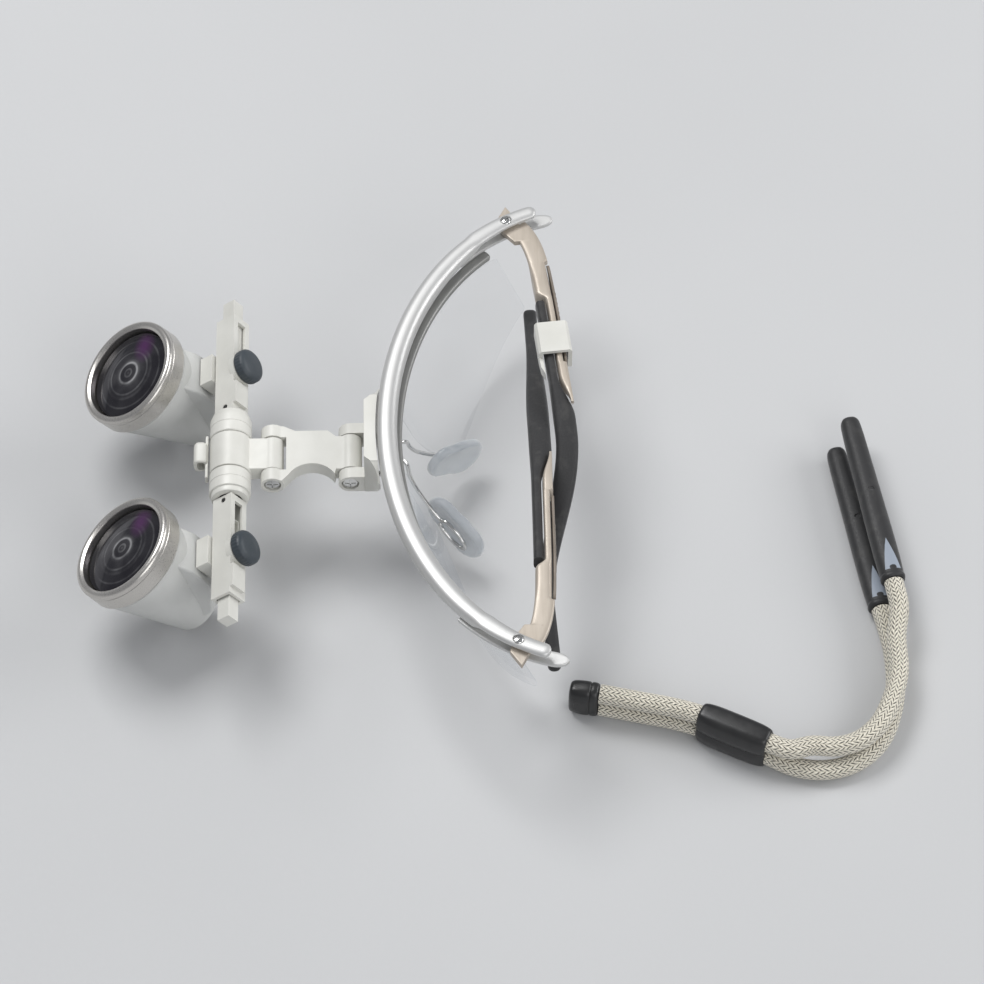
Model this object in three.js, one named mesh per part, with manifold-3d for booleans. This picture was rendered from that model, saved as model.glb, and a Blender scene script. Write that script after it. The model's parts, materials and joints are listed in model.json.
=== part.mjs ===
// Dental loupes: a wrap-round safety spectacle frame with folding temples, a link arm on a bracket,
// and two Galilean telescopes that flip up on a barrel hinge and slide apart along box rails.
// A retaining cord with two end sleeves lies beside the frame.
//
// Millimetres. +Z is up, -Y is the way the wearer looks, +X is the wearer's left. The pair stands on
// the lower edges of its lenses and telescopes, with the temples folded and the telescopes flipped up.

import * as THREE from 'three';
import { mergeVertices } from 'three/addons/utils/BufferGeometryUtils.js';
import Module from 'manifold-3d';

const wasm = await Module();
wasm.setup();

// ---------------------------------------------------------------- driving dimensions

const GAP = 0.3; // clearance between pieces that touch

// Spectacle frame. Frame coordinates have y = 0 at the temple hinges and z = 0 on the table.
const HINGE_X = 68.5;
const BROW_A = 74; // half axes of the ellipse that the brow bar follows in plan
const BROW_B = 52.5;
const HINGE_ANGLE = Math.asin(HINGE_X / BROW_A);
const BROW_Y = BROW_B * Math.cos(HINGE_ANGLE);
const BAR_TOP = 43.7;
const BAR_TIP_ANGLE = THREE.MathUtils.degToRad(77);
const THROAT_ANGLE = THREE.MathUtils.degToRad(58); // where the bar thins to the fork's upper tine
const TINE = 2;
const LUG_TOP = 39.3;
const UNDER_RAIL_Z = 36.7;
const LENS_TOP = 35.3;
const LENS_LEAN = 0.37; // how far the lens runs back for each millimetre down
const LENS_THICK = 1.8;
const LENS_INNER = 9.5; // the lens runs from here to LENS_OUTER, measured across from the middle
const LENS_OUTER = 65.2;
const SCREW_HOLE_R = 1.1; // in the temple forks and eyes
const HINGE_HEAD_R = 1.3;
const RAIL_INSET = 2.4; // of the under rail and the lenses from the bar's middle line
const LUG_HALF = 0.6; // half thickness of the fork's lower tine

// Nose bridge and pads.
const BRIDGE_Y = -31.9;
const BRIDGE_SCREW_X = 6.2;
const BRIDGE_SCREW_Z = 30.3;
const BRIDGE_HOLE_R = 0.95;
const BRIDGE_HALF = 9.4;
const BRIDGE_LOW = 26.9;
const WIRE_R = 0.55; // of the nose arms
const PAD_CENTRE = new THREE.Vector3(-11.2, -15.2, 13.1);
const PAD_LONG = new THREE.Vector3(-0.57, 0.64, -0.52).normalize();
const PAD_FACE = new THREE.Vector3(0.77, 0.63, -0.07).normalize(); // towards the nose
const PAD_WIDE = new THREE.Vector3().crossVectors(PAD_FACE, PAD_LONG).normalize();
PAD_FACE.crossVectors(PAD_LONG, PAD_WIDE);

// Temples: s runs from the hinge to the tip.
const TEMPLE_LENGTH = 128;
const ARM_TOP = 41.4;
const ARM_BOTTOM = 35.9;
const ARM_END = 61;
const INLAY_START = 14;
const INLAY_END = 48;
const SLEEVE_START = 26;
const EYE_THICK = 1.8; // of the arm where it turns in the fork
const DROOP_START = 50; // the temple bends down from here, and is straight again past DROOP_END
const DROOP_END = 76;
const DROOP_SLOPE = 0.36;
// The folded left-hand temple lies inside the right-hand one and is straighter at its tip.
const TEMPLES = [
  { side: 'right', fold: THREE.MathUtils.degToRad(6), tipBend: 10 },
  { side: 'left', fold: 0, tipBend: 0 },
];

// Mount: bracket, link arm and pivot block, all hinged about axes along X.
const LINK_Z = 29.5;
const BRACKET_PIN_Y = -42.5;
const FRONT_PIN_Y = -62.9;
const KNUCKLE_R = 3.1;
const FORK_OUT = 8.9;
const FORK_IN = 5.6;
const LINK_HALF = 5.3; // half width of the link arm's tongue
const PIN_HOLE_R = 1.6;
const PIN_R = 1.55;
const HEAD_SINK = 1.4; // depth of the round sink for each pin's head
const HEAD_SINK_R = 2.3;
const BLOCK_HALF = 5; // half width of the pivot block between the link arm's cheeks
const PLATE_FRONT_Y = -38.7;
const PLATE_LOW = 26.7;
const PLATE_HIGH = 42.3;
const FIN_TIP = 15.4; // half length of the bracket plate along the bar
const FIN_ROOT = FORK_OUT + 0.4;
const FIN_LOW = 36.6; // lower and upper edge of each fin at its tip
const FIN_HIGH = 38.2;

// Optics. Local y runs back along the line of sight and local z up, from the barrel's axis.
const BARREL_Y = -74;
const FLIP_UP = THREE.MathUtils.degToRad(-52.9);
const BARREL_R = 5.5;
const BARREL_HALF = 13.6;
const COLLAR_HALF = 5.5;
const AXLE_R = 3;
const RAIL = 6.2;
const RAIL_LENGTH = 31.6;
const RAIL_INNER_END = 13.9;
const SLIDER = 3.8;
const SLIDER_REACH = [20.4, 51.8]; // inner and outer end of each slider from the middle
const PUPIL_HALF = 29.8;
const SIGHT_DROP = 21.6; // optical axis below the rail
const BEZEL_R = 15.2;
const BEZEL_FRONT = -18.2;
const BEZEL_BACK = -11.8;
const HOUSING_BACK = 13.4;
const HOUSING_FRONT_R = 14.5;
const HOUSING_BACK_R = 7.5;
const CONVERGENCE = THREE.MathUtils.degToRad(3.5); // of each telescope towards the midline
const GLASS_R = 12.5;
const EYEPIECE_R = 6.1; // bore at the eye end of the housing
const KNOB_R = 4.75;
const STEM_R = 1.1;
const KNOB_X = 17.4; // from the start of the rail
const RAIL_SLOT = [1.9, 12.4]; // a wide slot runs out to each knob
const RAIL_SLOT_HALF = 1.5;
const RAIL_START = { right: -RAIL_INNER_END - RAIL_LENGTH, left: RAIL_INNER_END };
const SCREW_X = { right: RAIL_LENGTH - 1.4, left: 1.4 };
const ARM_HALF = 4.2; // half width of the arm that runs in the rail's lower slot
const PD_IN = 1; // travel of each telescope from its resting place
const PD_OUT = 9;
const SOCKET_TURN = -FLIP_UP; // the lever socket is level when the telescopes are flipped up
const SOCKET_Y = -7.8;
const SOCKET_DEPTH = 1.9; // half depth and half height of the lever socket
const SOCKET_RISE = 2.4;

// Retaining cord: two strands, one lying on the other.
const CORD = 5.2;
const SLEEVE_WIDTH = 6.8;
const SLEEVE_HEIGHT = 6.2;
// Middle lines of the strands, from the end ferrule by way of the slider to the mouths of two sleeves.
const LOWER_ROUTE = [
  [62.1, 21.4, 2.8], [63.1, 25.8, 2.7], [64.6, 31.8, 2.7], [67.2, 40.6, 3.2], [69.8, 47.1, 3.6],
  [74.8, 56.6, 3.6], [78.9, 64.3, 3.6], [81.9, 70.6, 2.9], [83.1, 77.0, 2.7], [82.2, 83.6, 2.7],
  [78.9, 89.6, 2.7], [73.5, 94.2, 2.7], [65.6, 97.3, 2.7], [56.6, 98.9, 2.7], [46.3, 98.9, 2.8],
  [39.5, 97.9, 3.1], [33.7, 96.8, 3.2],
];
const UPPER_ROUTE = [
  [62.1, 21.4, 8.3], [63.1, 25.8, 8.2], [64.6, 31.8, 8.2], [67.2, 40.6, 8.8], [69.8, 47.1, 9.2],
  [74.8, 56.6, 9.2], [78.5, 63.9, 9.1], [80.3, 69.6, 8.5], [79.1, 75.4, 8.2], [79.5, 81.4, 8.2],
  [77.9, 87.2, 8.2], [73.3, 92.6, 8.2], [65.6, 96.7, 8.2], [56.6, 99.3, 8.2], [45.8, 99.5, 8.5],
  [37.1, 100.8, 9.6], [29.5, 100.0, 9.7],
];
const SLIDER_FRONT = new THREE.Vector3(69.8, 47.1, 6.4);
const SLIDER_BACK = new THREE.Vector3(78.7, 64.1, 6.4);
const CHANNEL_RISE = 2.8; // of each channel's middle from the slider's

// The model's origin: the middle of the underside of the loupes' box, without the cord.
const ORIGIN_Y = -48.3;

// ---------------------------------------------------------------- materials

function material(color, roughness, metalness, opacity = 1) {
  return new THREE.MeshStandardMaterial({ color, roughness, metalness, opacity, transparent: opacity < 1 });
}

const satin = material(0xc9c9c6, 0.35, 0.85);
const darkSatin = material(0x8d8e8c, 0.45, 0.7);
const chrome = material(0xd8d8d8, 0.12, 1);
const polymer = material(0xdedfd7, 0.5, 0);
const greyPolymer = material(0xc4c5c1, 0.48, 0);
const slate = material(0x2d353b, 0.6, 0);
const taupe = material(0xbeb4a6, 0.42, 0.1);
const darkTaupe = material(0x7d7368, 0.5, 0);
const rubber = material(0x232324, 0.75, 0);
const clear = material(0xb9c2cc, 0.08, 0, 0.35);
const silicone = material(0xc8ccd0, 0.3, 0, 0.45);
const glass = material(0x2a2233, 0.05, 0, 0.6);
const blackMetal = material(0x161618, 0.55, 0.2);
const braid = material(0xd8d0b8, 0.85, 0);

// ---------------------------------------------------------------- solids

function toSolid(geometry) {
  const bare = geometry.clone();
  for (const name of Object.keys(bare.attributes)) {
    if (name !== 'position') bare.deleteAttribute(name);
  }
  const welded = mergeVertices(bare, 1e-4);
  const corners = welded.index.array;
  const triVerts = [];
  for (let i = 0; i < corners.length; i += 3) {
    const [a, b, c] = [corners[i], corners[i + 1], corners[i + 2]];
    if (a !== b && b !== c && c !== a) triVerts.push(a, b, c);
  }
  return new wasm.Manifold(new wasm.Mesh({
    numProp: 3,
    vertProperties: new Float32Array(welded.attributes.position.array),
    triVerts: new Uint32Array(triVerts),
  }));
}

function toGeometry(solid) {
  const mesh = solid.getMesh();
  const geometry = new THREE.BufferGeometry();
  geometry.setAttribute('position', new THREE.BufferAttribute(new Float32Array(mesh.vertProperties), 3));
  geometry.setIndex(new THREE.BufferAttribute(new Uint32Array(mesh.triVerts), 1));
  return geometry;
}

function fuse(...geometries) {
  return toGeometry(geometries.map(toSolid).reduce((whole, next) => whole.add(next)));
}

function carve(geometry, ...cutters) {
  const whole = toSolid(geometry);
  return toGeometry(cutters.map(toSolid).reduce((left, cutter) => left.subtract(cutter), whole));
}

function enclosedVolume(points, faces) {
  const cross = new THREE.Vector3();
  return faces.reduce((sum, [a, b, c]) => sum + points[a].dot(cross.crossVectors(points[b], points[c])), 0);
}

// A closed skin through rings of points, each ring having the same count, with a fan over each end.
function loft(rings) {
  const count = rings[0].length;
  const points = rings.flat();
  const faces = [];
  for (let r = 0; r < rings.length - 1; r++) {
    for (let i = 0; i < count; i++) {
      const a = r * count + i;
      const b = r * count + ((i + 1) % count);
      faces.push([a, b, b + count], [a, b + count, a + count]);
    }
  }
  for (const end of [0, rings.length - 1]) {
    const centre = points.length;
    points.push(rings[end].reduce((sum, p) => sum.add(p), new THREE.Vector3()).divideScalar(count));
    for (let i = 0; i < count; i++) {
      const a = end * count + i;
      const b = end * count + ((i + 1) % count);
      faces.push(end === 0 ? [centre, b, a] : [centre, a, b]);
    }
  }
  if (enclosedVolume(points, faces) < 0) faces.forEach((face) => face.reverse());
  const geometry = new THREE.BufferGeometry().setFromPoints(points);
  geometry.setIndex(faces.flat());
  return geometry;
}

// Offsets round a section between a rectangle and an ellipse.
function roundedSection(halfWidth, halfHeight, count, squareness = 0.6) {
  const offsets = [];
  for (let i = 0; i < count; i++) {
    const t = ((i + 0.5) / count) * Math.PI * 2;
    const c = Math.cos(t);
    const s = Math.sin(t);
    offsets.push([
      halfWidth * Math.sign(c) * Math.abs(c) ** squareness,
      halfHeight * Math.sign(s) * Math.abs(s) ** squareness,
    ]);
  }
  return offsets;
}

function box(x0, x1, y0, y1, z0, z1) {
  const geometry = new THREE.BoxGeometry(x1 - x0, y1 - y0, z1 - z0);
  return geometry.translate((x0 + x1) / 2, (y0 + y1) / 2, (z0 + z1) / 2);
}

function cylinderX(x0, x1, y, z, radius, sides = 16) {
  const geometry = new THREE.CylinderGeometry(radius, radius, x1 - x0, sides);
  return geometry.rotateZ(Math.PI / 2).translate((x0 + x1) / 2, y, z);
}

function cylinderY(x, y0, y1, z, radius, sides = 12) {
  return new THREE.CylinderGeometry(radius, radius, y1 - y0, sides).translate(x, (y0 + y1) / 2, z);
}

function cylinderZ(x, y, z0, z1, radius, sides = 12) {
  const geometry = new THREE.CylinderGeometry(radius, radius, z1 - z0, sides);
  return geometry.rotateX(Math.PI / 2).translate(x, y, (z0 + z1) / 2);
}

// A solid of revolution about an axis along Y; the profile is [radius, y] pairs.
function turned(profile, sides = 24) {
  return new THREE.LatheGeometry(profile.map(([r, y]) => new THREE.Vector2(r, y)), sides);
}

// A plate with its outline in plan, between two levels.
function plate(points, z0, z1) {
  const shape = new THREE.Shape(points.map(([x, y]) => new THREE.Vector2(x, y)));
  return new THREE.ExtrudeGeometry(shape, { depth: z1 - z0, bevelEnabled: false }).translate(0, 0, z0);
}

function circleShape(radius, sides) {
  const shape = new THREE.Shape();
  for (let i = 0; i < sides; i++) {
    const t = (i / sides) * Math.PI * 2;
    const point = [radius * Math.cos(t), radius * Math.sin(t)];
    if (i === 0) shape.moveTo(...point);
    else shape.lineTo(...point);
  }
  shape.closePath();
  return shape;
}

function tube(curve, radius, sides, steps) {
  return new THREE.ExtrudeGeometry(circleShape(radius, sides), { extrudePath: curve, steps });
}

function mirrored(geometry) {
  const copy = geometry.clone().scale(-1, 1, 1);
  const corners = copy.index ? copy.index : null;
  const flat = corners ? copy.toNonIndexed() : copy;
  const position = flat.attributes.position;
  const swap = new THREE.Vector3();
  const other = new THREE.Vector3();
  for (let i = 0; i < position.count; i += 3) {
    swap.fromBufferAttribute(position, i + 1);
    other.fromBufferAttribute(position, i + 2);
    position.setXYZ(i + 1, other.x, other.y, other.z);
    position.setXYZ(i + 2, swap.x, swap.y, swap.z);
  }
  for (const name of ['normal', 'uv']) flat.deleteAttribute(name);
  return mergeVertices(flat, 1e-4);
}

// ---------------------------------------------------------------- scene graph

const loupes = new THREE.Group();
const frameGroup = new THREE.Group(); // frame coordinates
frameGroup.position.y = -ORIGIN_Y;
loupes.add(frameGroup);

const opticsGroup = new THREE.Group(); // optics coordinates
opticsGroup.position.set(0, BARREL_Y, LINK_Z);
opticsGroup.rotation.x = FLIP_UP;
frameGroup.add(opticsGroup);

function piece(parent, name, geometry, finish) {
  geometry.computeVertexNormals();
  const mesh = new THREE.Mesh(geometry, finish);
  mesh.name = name;
  parent.add(mesh);
}

// The right-hand piece is drawn at -X and the left-hand one is its mirror image.
function pair(parent, name, rightGeometry, finish) {
  piece(parent, `${name}_right`, rightGeometry, finish);
  piece(parent, `${name}_left`, mirrored(rightGeometry), finish);
}

// ---------------------------------------------------------------- spectacle frame

// A point on the brow ellipse at an angle from the middle, moved inward, and its inward direction.
function browPoint(angle, inset) {
  const inward = new THREE.Vector2(-BROW_B * Math.sin(angle), BROW_A * Math.cos(angle)).normalize();
  const x = BROW_A * Math.sin(angle) + inward.x * inset;
  const y = BROW_Y - BROW_B * Math.cos(angle) + inward.y * inset;
  return { x, y, inward };
}

function browRing(angle, inset, middleZ, section) {
  const { x, y, inward } = browPoint(angle, inset);
  return section.map(([across, up]) => (
    new THREE.Vector3(x + inward.x * across, y + inward.y * across, middleZ + up)
  ));
}

function barHeight(angle) {
  const bend = Math.abs(angle);
  const full = 5 - 0.9 * THREE.MathUtils.smoothstep(bend, 0.6, 0.95);
  const fork = THREE.MathUtils.smoothstep(bend, THROAT_ANGLE - 0.05, THROAT_ANGLE);
  return THREE.MathUtils.lerp(full, TINE, fork);
}

function browBar() {
  const rings = [];
  const steps = 44;
  for (let i = 0; i <= steps; i++) {
    const angle = THREE.MathUtils.lerp(-BAR_TIP_ANGLE, BAR_TIP_ANGLE, i / steps);
    const height = barHeight(angle);
    const width = 5.4 - 1.4 * THREE.MathUtils.smoothstep(Math.abs(angle), 0.7, BAR_TIP_ANGLE);
    rings.push(browRing(angle, 0, BAR_TOP - height / 2, roundedSection(width / 2, height / 2, 12, 0.7)));
  }
  const screwHoles = [-HINGE_X, HINGE_X].flatMap((x) => [
    cylinderZ(x, 0, BAR_TOP - 4, BAR_TOP + 1, SCREW_HOLE_R),
    cylinderZ(x, 0, BAR_TOP - 0.9, BAR_TOP + 1, HINGE_HEAD_R + GAP),
  ]);
  return carve(loft(rings), ...screwHoles);
}

function underRail() {
  const rings = [];
  const reach = THREE.MathUtils.degToRad(60);
  for (let i = 0; i <= 32; i++) {
    const angle = THREE.MathUtils.lerp(-reach, reach, i / 32);
    rings.push(browRing(angle, RAIL_INSET, UNDER_RAIL_Z, roundedSection(1.5, 1.05, 8)));
  }
  return loft(rings);
}

// The lower tine of the fork that holds the right temple.
function forkLug() {
  const rings = [];
  const start = THREE.MathUtils.degToRad(-51);
  const end = THREE.MathUtils.degToRad(-82);
  for (let i = 0; i <= 14; i++) {
    const t = i / 14;
    const half = 2.1 * Math.sqrt(1 - Math.max(0, (t - 0.86) / 0.16) ** 2);
    const angle = THREE.MathUtils.lerp(start, end, t);
    const inset = THREE.MathUtils.lerp(-0.6, 0.9, t);
    const slim = [[-half, -LUG_HALF], [half, -LUG_HALF], [half, LUG_HALF], [-half, LUG_HALF]];
    rings.push(browRing(angle, inset, LUG_TOP - LUG_HALF, slim));
  }
  return carve(loft(rings), cylinderZ(-HINGE_X, 0, LUG_TOP - 3, LUG_TOP + 1, SCREW_HOLE_R));
}

function hingeScrew() {
  const shank = cylinderZ(-HINGE_X, 0, LUG_TOP - 1.6, BAR_TOP - 0.3, 0.8, 12);
  const head = cylinderZ(-HINGE_X, 0, BAR_TOP - 0.6, BAR_TOP + 0.05, HINGE_HEAD_R);
  return fuse(shank, head);
}

// Lower and upper edge of the right lens at a distance out from the middle.
function lensEdges(out) {
  const nose = THREE.MathUtils.clamp((out - LENS_INNER) / 20, 0, 1);
  const rim = THREE.MathUtils.clamp((out - 31) / 34.5, 0, 1);
  const low = 31 * (1 - Math.sqrt(1 - (1 - nose) ** 2)) + 13.7 * rim ** 2;
  return [low, LENS_TOP - 1.2 * rim ** 6];
}

function lens() {
  const rings = [];
  const stations = 26;
  for (let i = 0; i <= stations; i++) {
    const out = THREE.MathUtils.lerp(LENS_INNER, LENS_OUTER, i / stations);
    const angle = -Math.asin(out / BROW_A);
    const [low, high] = lensEdges(out);
    const { x, y, inward } = browPoint(angle, RAIL_INSET);
    const corner = (depth, z) => new THREE.Vector3(
      x + inward.x * depth,
      y + inward.y * depth + LENS_LEAN * (LENS_TOP - z),
      z,
    );
    rings.push([corner(0, low), corner(0, high), corner(LENS_THICK, high), corner(LENS_THICK, low)]);
  }
  return loft(rings);
}

piece(frameGroup, 'brow_bar', browBar(), satin);
piece(frameGroup, 'under_rail', underRail(), darkSatin);
pair(frameGroup, 'fork_lug', forkLug(), satin);
pair(frameGroup, 'lens', lens(), clear);
pair(frameGroup, 'hinge_screw', hingeScrew(), chrome);

// ---------------------------------------------------------------- nose bridge and pads

function bridgePlate() {
  const back = box(-BRIDGE_HALF, BRIDGE_HALF, BRIDGE_Y - 1, BRIDGE_Y + 0.2, BRIDGE_LOW, LENS_TOP);
  const holes = [-BRIDGE_SCREW_X, BRIDGE_SCREW_X].map((x) => (
    cylinderY(x, BRIDGE_Y - 3, BRIDGE_Y + 3, BRIDGE_SCREW_Z, BRIDGE_HOLE_R)
  ));
  return carve(back, ...holes);
}

function bridgeScrew() {
  const shank = cylinderY(-BRIDGE_SCREW_X, -35.6, BRIDGE_Y + 0.6, BRIDGE_SCREW_Z, 0.75, 12);
  const head = cylinderY(-BRIDGE_SCREW_X, BRIDGE_Y + 0.5, BRIDGE_Y + 1.7, BRIDGE_SCREW_Z, 1.4);
  return fuse(shank, head);
}

function padPoint(along, across, off) {
  return PAD_CENTRE.clone()
    .addScaledVector(PAD_LONG, along)
    .addScaledVector(PAD_WIDE, across)
    .addScaledVector(PAD_FACE, off);
}

// The wire starts on the bridge plate, curls down to the pad and ends in an open oval on its back.
function noseArm() {
  const stem = [
    new THREE.Vector3(-2.2, BRIDGE_Y + 1.4, 31.3),
    new THREE.Vector3(-2.6, BRIDGE_Y + 2.6, 32.1),
    new THREE.Vector3(-3.6, BRIDGE_Y + 4.2, 30.9),
    new THREE.Vector3(-4.8, BRIDGE_Y + 5, 27.2),
    new THREE.Vector3(-6.2, BRIDGE_Y + 6.8, 23.2),
  ];
  const oval = [];
  for (let i = 0; i <= 10; i++) {
    const t = Math.PI * (0.94 - (i / 10) * 1.8);
    oval.push(padPoint(1 + 5 * Math.cos(t), 2.2 * Math.sin(t), -2.3));
  }
  return tube(new THREE.CatmullRomCurve3([...stem, ...oval]), WIRE_R, 6, 34);
}

function nosePad() {
  const outline = new THREE.Shape();
  const straight = 4.9;
  const radius = 4.7;
  outline.absarc(straight, 0, radius, -Math.PI / 2, Math.PI / 2);
  outline.absarc(-straight, 0, radius * 0.86, Math.PI / 2, (Math.PI * 3) / 2);
  outline.closePath();
  const bevel = { bevelEnabled: true, bevelSize: 0.7, bevelThickness: 0.6, bevelSegments: 1 };
  const geometry = new THREE.ExtrudeGeometry(outline, { depth: 1.6, curveSegments: 7, ...bevel });
  geometry.translate(0, 0, -0.8);
  const basis = new THREE.Matrix4().makeBasis(PAD_LONG, PAD_WIDE, PAD_FACE).setPosition(PAD_CENTRE);
  return geometry.applyMatrix4(basis);
}

piece(frameGroup, 'nose_bridge', bridgePlate(), chrome);
pair(frameGroup, 'bridge_screw', bridgeScrew(), chrome);
pair(frameGroup, 'nose_arm', noseArm(), chrome);
pair(frameGroup, 'nose_pad', nosePad(), silicone);

// ---------------------------------------------------------------- temples

// Sideways bow of the temple's middle line, outward positive; the soft tip bends in by tipBend.
function templeBow(s, tipBend) {
  const heel = 7.6 * (1 - Math.exp(-(s + 3) / 6.5));
  return heel - 0.015 * Math.max(0, s - 62) - tipBend * THREE.MathUtils.smoothstep(s, 68, 112);
}

function templeDrop(s) {
  const bent = THREE.MathUtils.clamp(s, DROOP_START, DROOP_END) - DROOP_START;
  return DROOP_SLOPE * (bent ** 2 / (2 * (DROOP_END - DROOP_START)) + Math.max(0, s - DROOP_END));
}

// A ring across the temple at s, from inner to outer side and low to high, before it is folded.
function templeRing(s, inner, outer, low, high, tipBend, squareness) {
  const slope = (templeBow(s + 0.5, tipBend) - templeBow(s - 0.5, tipBend)) * 0.8;
  const across = new THREE.Vector2(-slope, 1).normalize();
  const bow = templeBow(s, tipBend);
  const drop = templeDrop(s);
  const middle = (inner + outer) / 2;
  return roundedSection((outer - inner) / 2, (high - low) / 2, 8, squareness).map(([side, up]) => (
    new THREE.Vector3(
      s + across.x * (middle + side),
      bow + across.y * (middle + side),
      (low + high) / 2 + up - drop,
    )
  ));
}

function armRings(tipBend) {
  const rings = [];
  const stations = [
    0.5, 3, 6, 10, INLAY_START - 0.4, INLAY_START + 0.1, 17, 20, 24, 26.4, 30, 36, 42,
    INLAY_END - 0.1, INLAY_END + 0.4, 54, 58, ARM_END,
  ];
  for (const s of stations) {
    const fork = THREE.MathUtils.smoothstep(s, 12, 20);
    const low = THREE.MathUtils.lerp(ARM_TOP - EYE_THICK, ARM_BOTTOM, fork);
    const slim = THREE.MathUtils.smoothstep(s, 24, 26.4);
    const point = THREE.MathUtils.smoothstep(s, 52, ARM_END);
    const inner = THREE.MathUtils.lerp(-2.6, THREE.MathUtils.lerp(-0.1, 1.9, point), slim);
    const outer = s > INLAY_START && s < INLAY_END ? 1.7 : 2.6;
    const floor = THREE.MathUtils.lerp(low, ARM_TOP - 1.2, point);
    rings.push(templeRing(s, inner, outer, floor, ARM_TOP, tipBend, 0.45));
  }
  return rings;
}

// The thin eye that turns in the fork, with the small pointed wing behind it.
function templeEye() {
  const outline = new THREE.Shape();
  outline.moveTo(6, 6.4);
  outline.lineTo(0, 3.6);
  outline.lineTo(-1.8, 3.2);
  outline.lineTo(-6.6, 0.7);
  outline.lineTo(-2.2, -2.2);
  outline.lineTo(2, -1.2);
  outline.lineTo(6, 1.6);
  outline.closePath();
  const eye = new THREE.ExtrudeGeometry(outline, { depth: EYE_THICK, bevelEnabled: false });
  return eye.translate(0, 0, ARM_TOP - EYE_THICK);
}

function folded(geometry, fold) {
  return geometry.rotateZ(fold).translate(-HINGE_X, 0, 0);
}

function templeArm(tipBend, fold) {
  const arm = fuse(loft(armRings(tipBend)), templeEye());
  return folded(carve(arm, cylinderZ(0, 0, ARM_TOP - 3, ARM_TOP + 1, SCREW_HOLE_R)), fold);
}

function templeTip(tipBend, fold) {
  const rings = [];
  const stations = [
    SLEEVE_START + 0.8, 30, 36, 44, 50, 54, 58, 62, 67, 72, 77, 82, 87, 92, 98, 104, 110, 117, 123, 126.5,
  ];
  for (const s of [...stations, TEMPLE_LENGTH]) {
    const grown = THREE.MathUtils.smoothstep(s, 52, 64);
    const taper = THREE.MathUtils.smoothstep(s, 78, 112);
    const nose = s === TEMPLE_LENGTH ? 0.45 : 1;
    const outer = THREE.MathUtils.lerp(-0.4, 2.7, grown) - 1.1 * taper;
    const inner = -3 - 0.2 * grown + 1.2 * taper;
    const high = ARM_TOP - 0.3 - 0.6 * grown - 0.3 * taper;
    const low = ARM_BOTTOM + 0.2 + 0.8 * taper;
    const middle = (high + low) / 2;
    const centre = (outer + inner) / 2;
    rings.push(templeRing(
      s,
      centre - ((outer - inner) / 2) * nose,
      centre + ((outer - inner) / 2) * nose,
      middle - ((high - low) / 2) * nose,
      middle + ((high - low) / 2) * nose,
      tipBend,
      0.7,
    ));
  }
  let tip = loft(rings);
  const fit = [];
  for (const s of [46, 50, 52, 54, 56, 58, 60, ARM_END + 0.8]) {
    const point = THREE.MathUtils.smoothstep(s, 52, ARM_END);
    const inner = THREE.MathUtils.lerp(-0.1, 1.9, point) - GAP;
    fit.push(templeRing(
      s, inner, 4, THREE.MathUtils.lerp(28, ARM_TOP - 1.2 - GAP, point), ARM_TOP + 2, tipBend, 0.2,
    ));
  }
  tip = carve(tip, loft(fit));
  return folded(tip, fold);
}

// A flat inlay let into the outer side of the arm.
function templeInlay(tipBend, fold) {
  const rings = [];
  const [start, end] = [INLAY_START + 0.5, INLAY_END - 0.5];
  for (const s of [start, start + 3, 22, 27, 32, 38, end - 3, end]) {
    const tall = s === start || s === end ? 0.35 : 1;
    const low = s < 18 ? ARM_TOP - 2.2 : ARM_BOTTOM + 0.7;
    const [middle, half] = [(ARM_TOP - 0.6 + low) / 2, (ARM_TOP - 0.6 - low) / 2];
    rings.push(templeRing(s, 1.7 + GAP, 2.9, middle - half * tall, middle + half * tall, tipBend, 0.45));
  }
  return folded(loft(rings), fold);
}

// A clip over the right-hand temple, with a tapered lip along its inner side.
function templeClip(fold) {
  const [inside, outside, wall] = [-3.2 - GAP, 2.9 + GAP, 1.1];
  const skirt = ARM_BOTTOM + 1.4;
  const bow = templeBow(41, 0);
  const saddle = new THREE.Shape([
    [inside, skirt], [inside, ARM_TOP + GAP], [outside, ARM_TOP + GAP], [outside, skirt - 2],
    [outside + wall, skirt - 2], [outside + wall, ARM_TOP + 0.5], [outside + 0.4, ARM_TOP + 1.3],
    [inside - 0.4, ARM_TOP + 1.3], [inside - wall, ARM_TOP + 0.5], [inside - wall, skirt],
  ].map(([across, z]) => new THREE.Vector2(bow + across, z)));
  const body = new THREE.ExtrudeGeometry(saddle, { depth: 10, bevelEnabled: false });
  body.applyMatrix4(new THREE.Matrix4().makeBasis(
    new THREE.Vector3(0, 1, 0),
    new THREE.Vector3(0, 0, 1),
    new THREE.Vector3(1, 0, 0),
  ));
  body.translate(35.5, 0, 0);
  const lip = plate([
    [45, bow + inside - wall], [45, bow + inside], [51, bow + inside], [48.6, bow + inside - wall * 0.8],
  ], skirt, skirt + 3);
  return folded(fuse(body, lip), fold);
}

for (const { side, fold, tipBend } of TEMPLES) {
  const finish = side === 'left' ? mirrored : (geometry) => geometry;
  piece(frameGroup, `temple_arm_${side}`, finish(templeArm(tipBend, fold)), taupe);
  piece(frameGroup, `temple_tip_${side}`, finish(templeTip(tipBend, fold)), rubber);
  piece(frameGroup, `temple_inlay_${side}`, finish(templeInlay(tipBend, fold)), darkTaupe);
}
piece(frameGroup, 'temple_clip', templeClip(TEMPLES[0].fold), polymer);

// ---------------------------------------------------------------- mount

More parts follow.
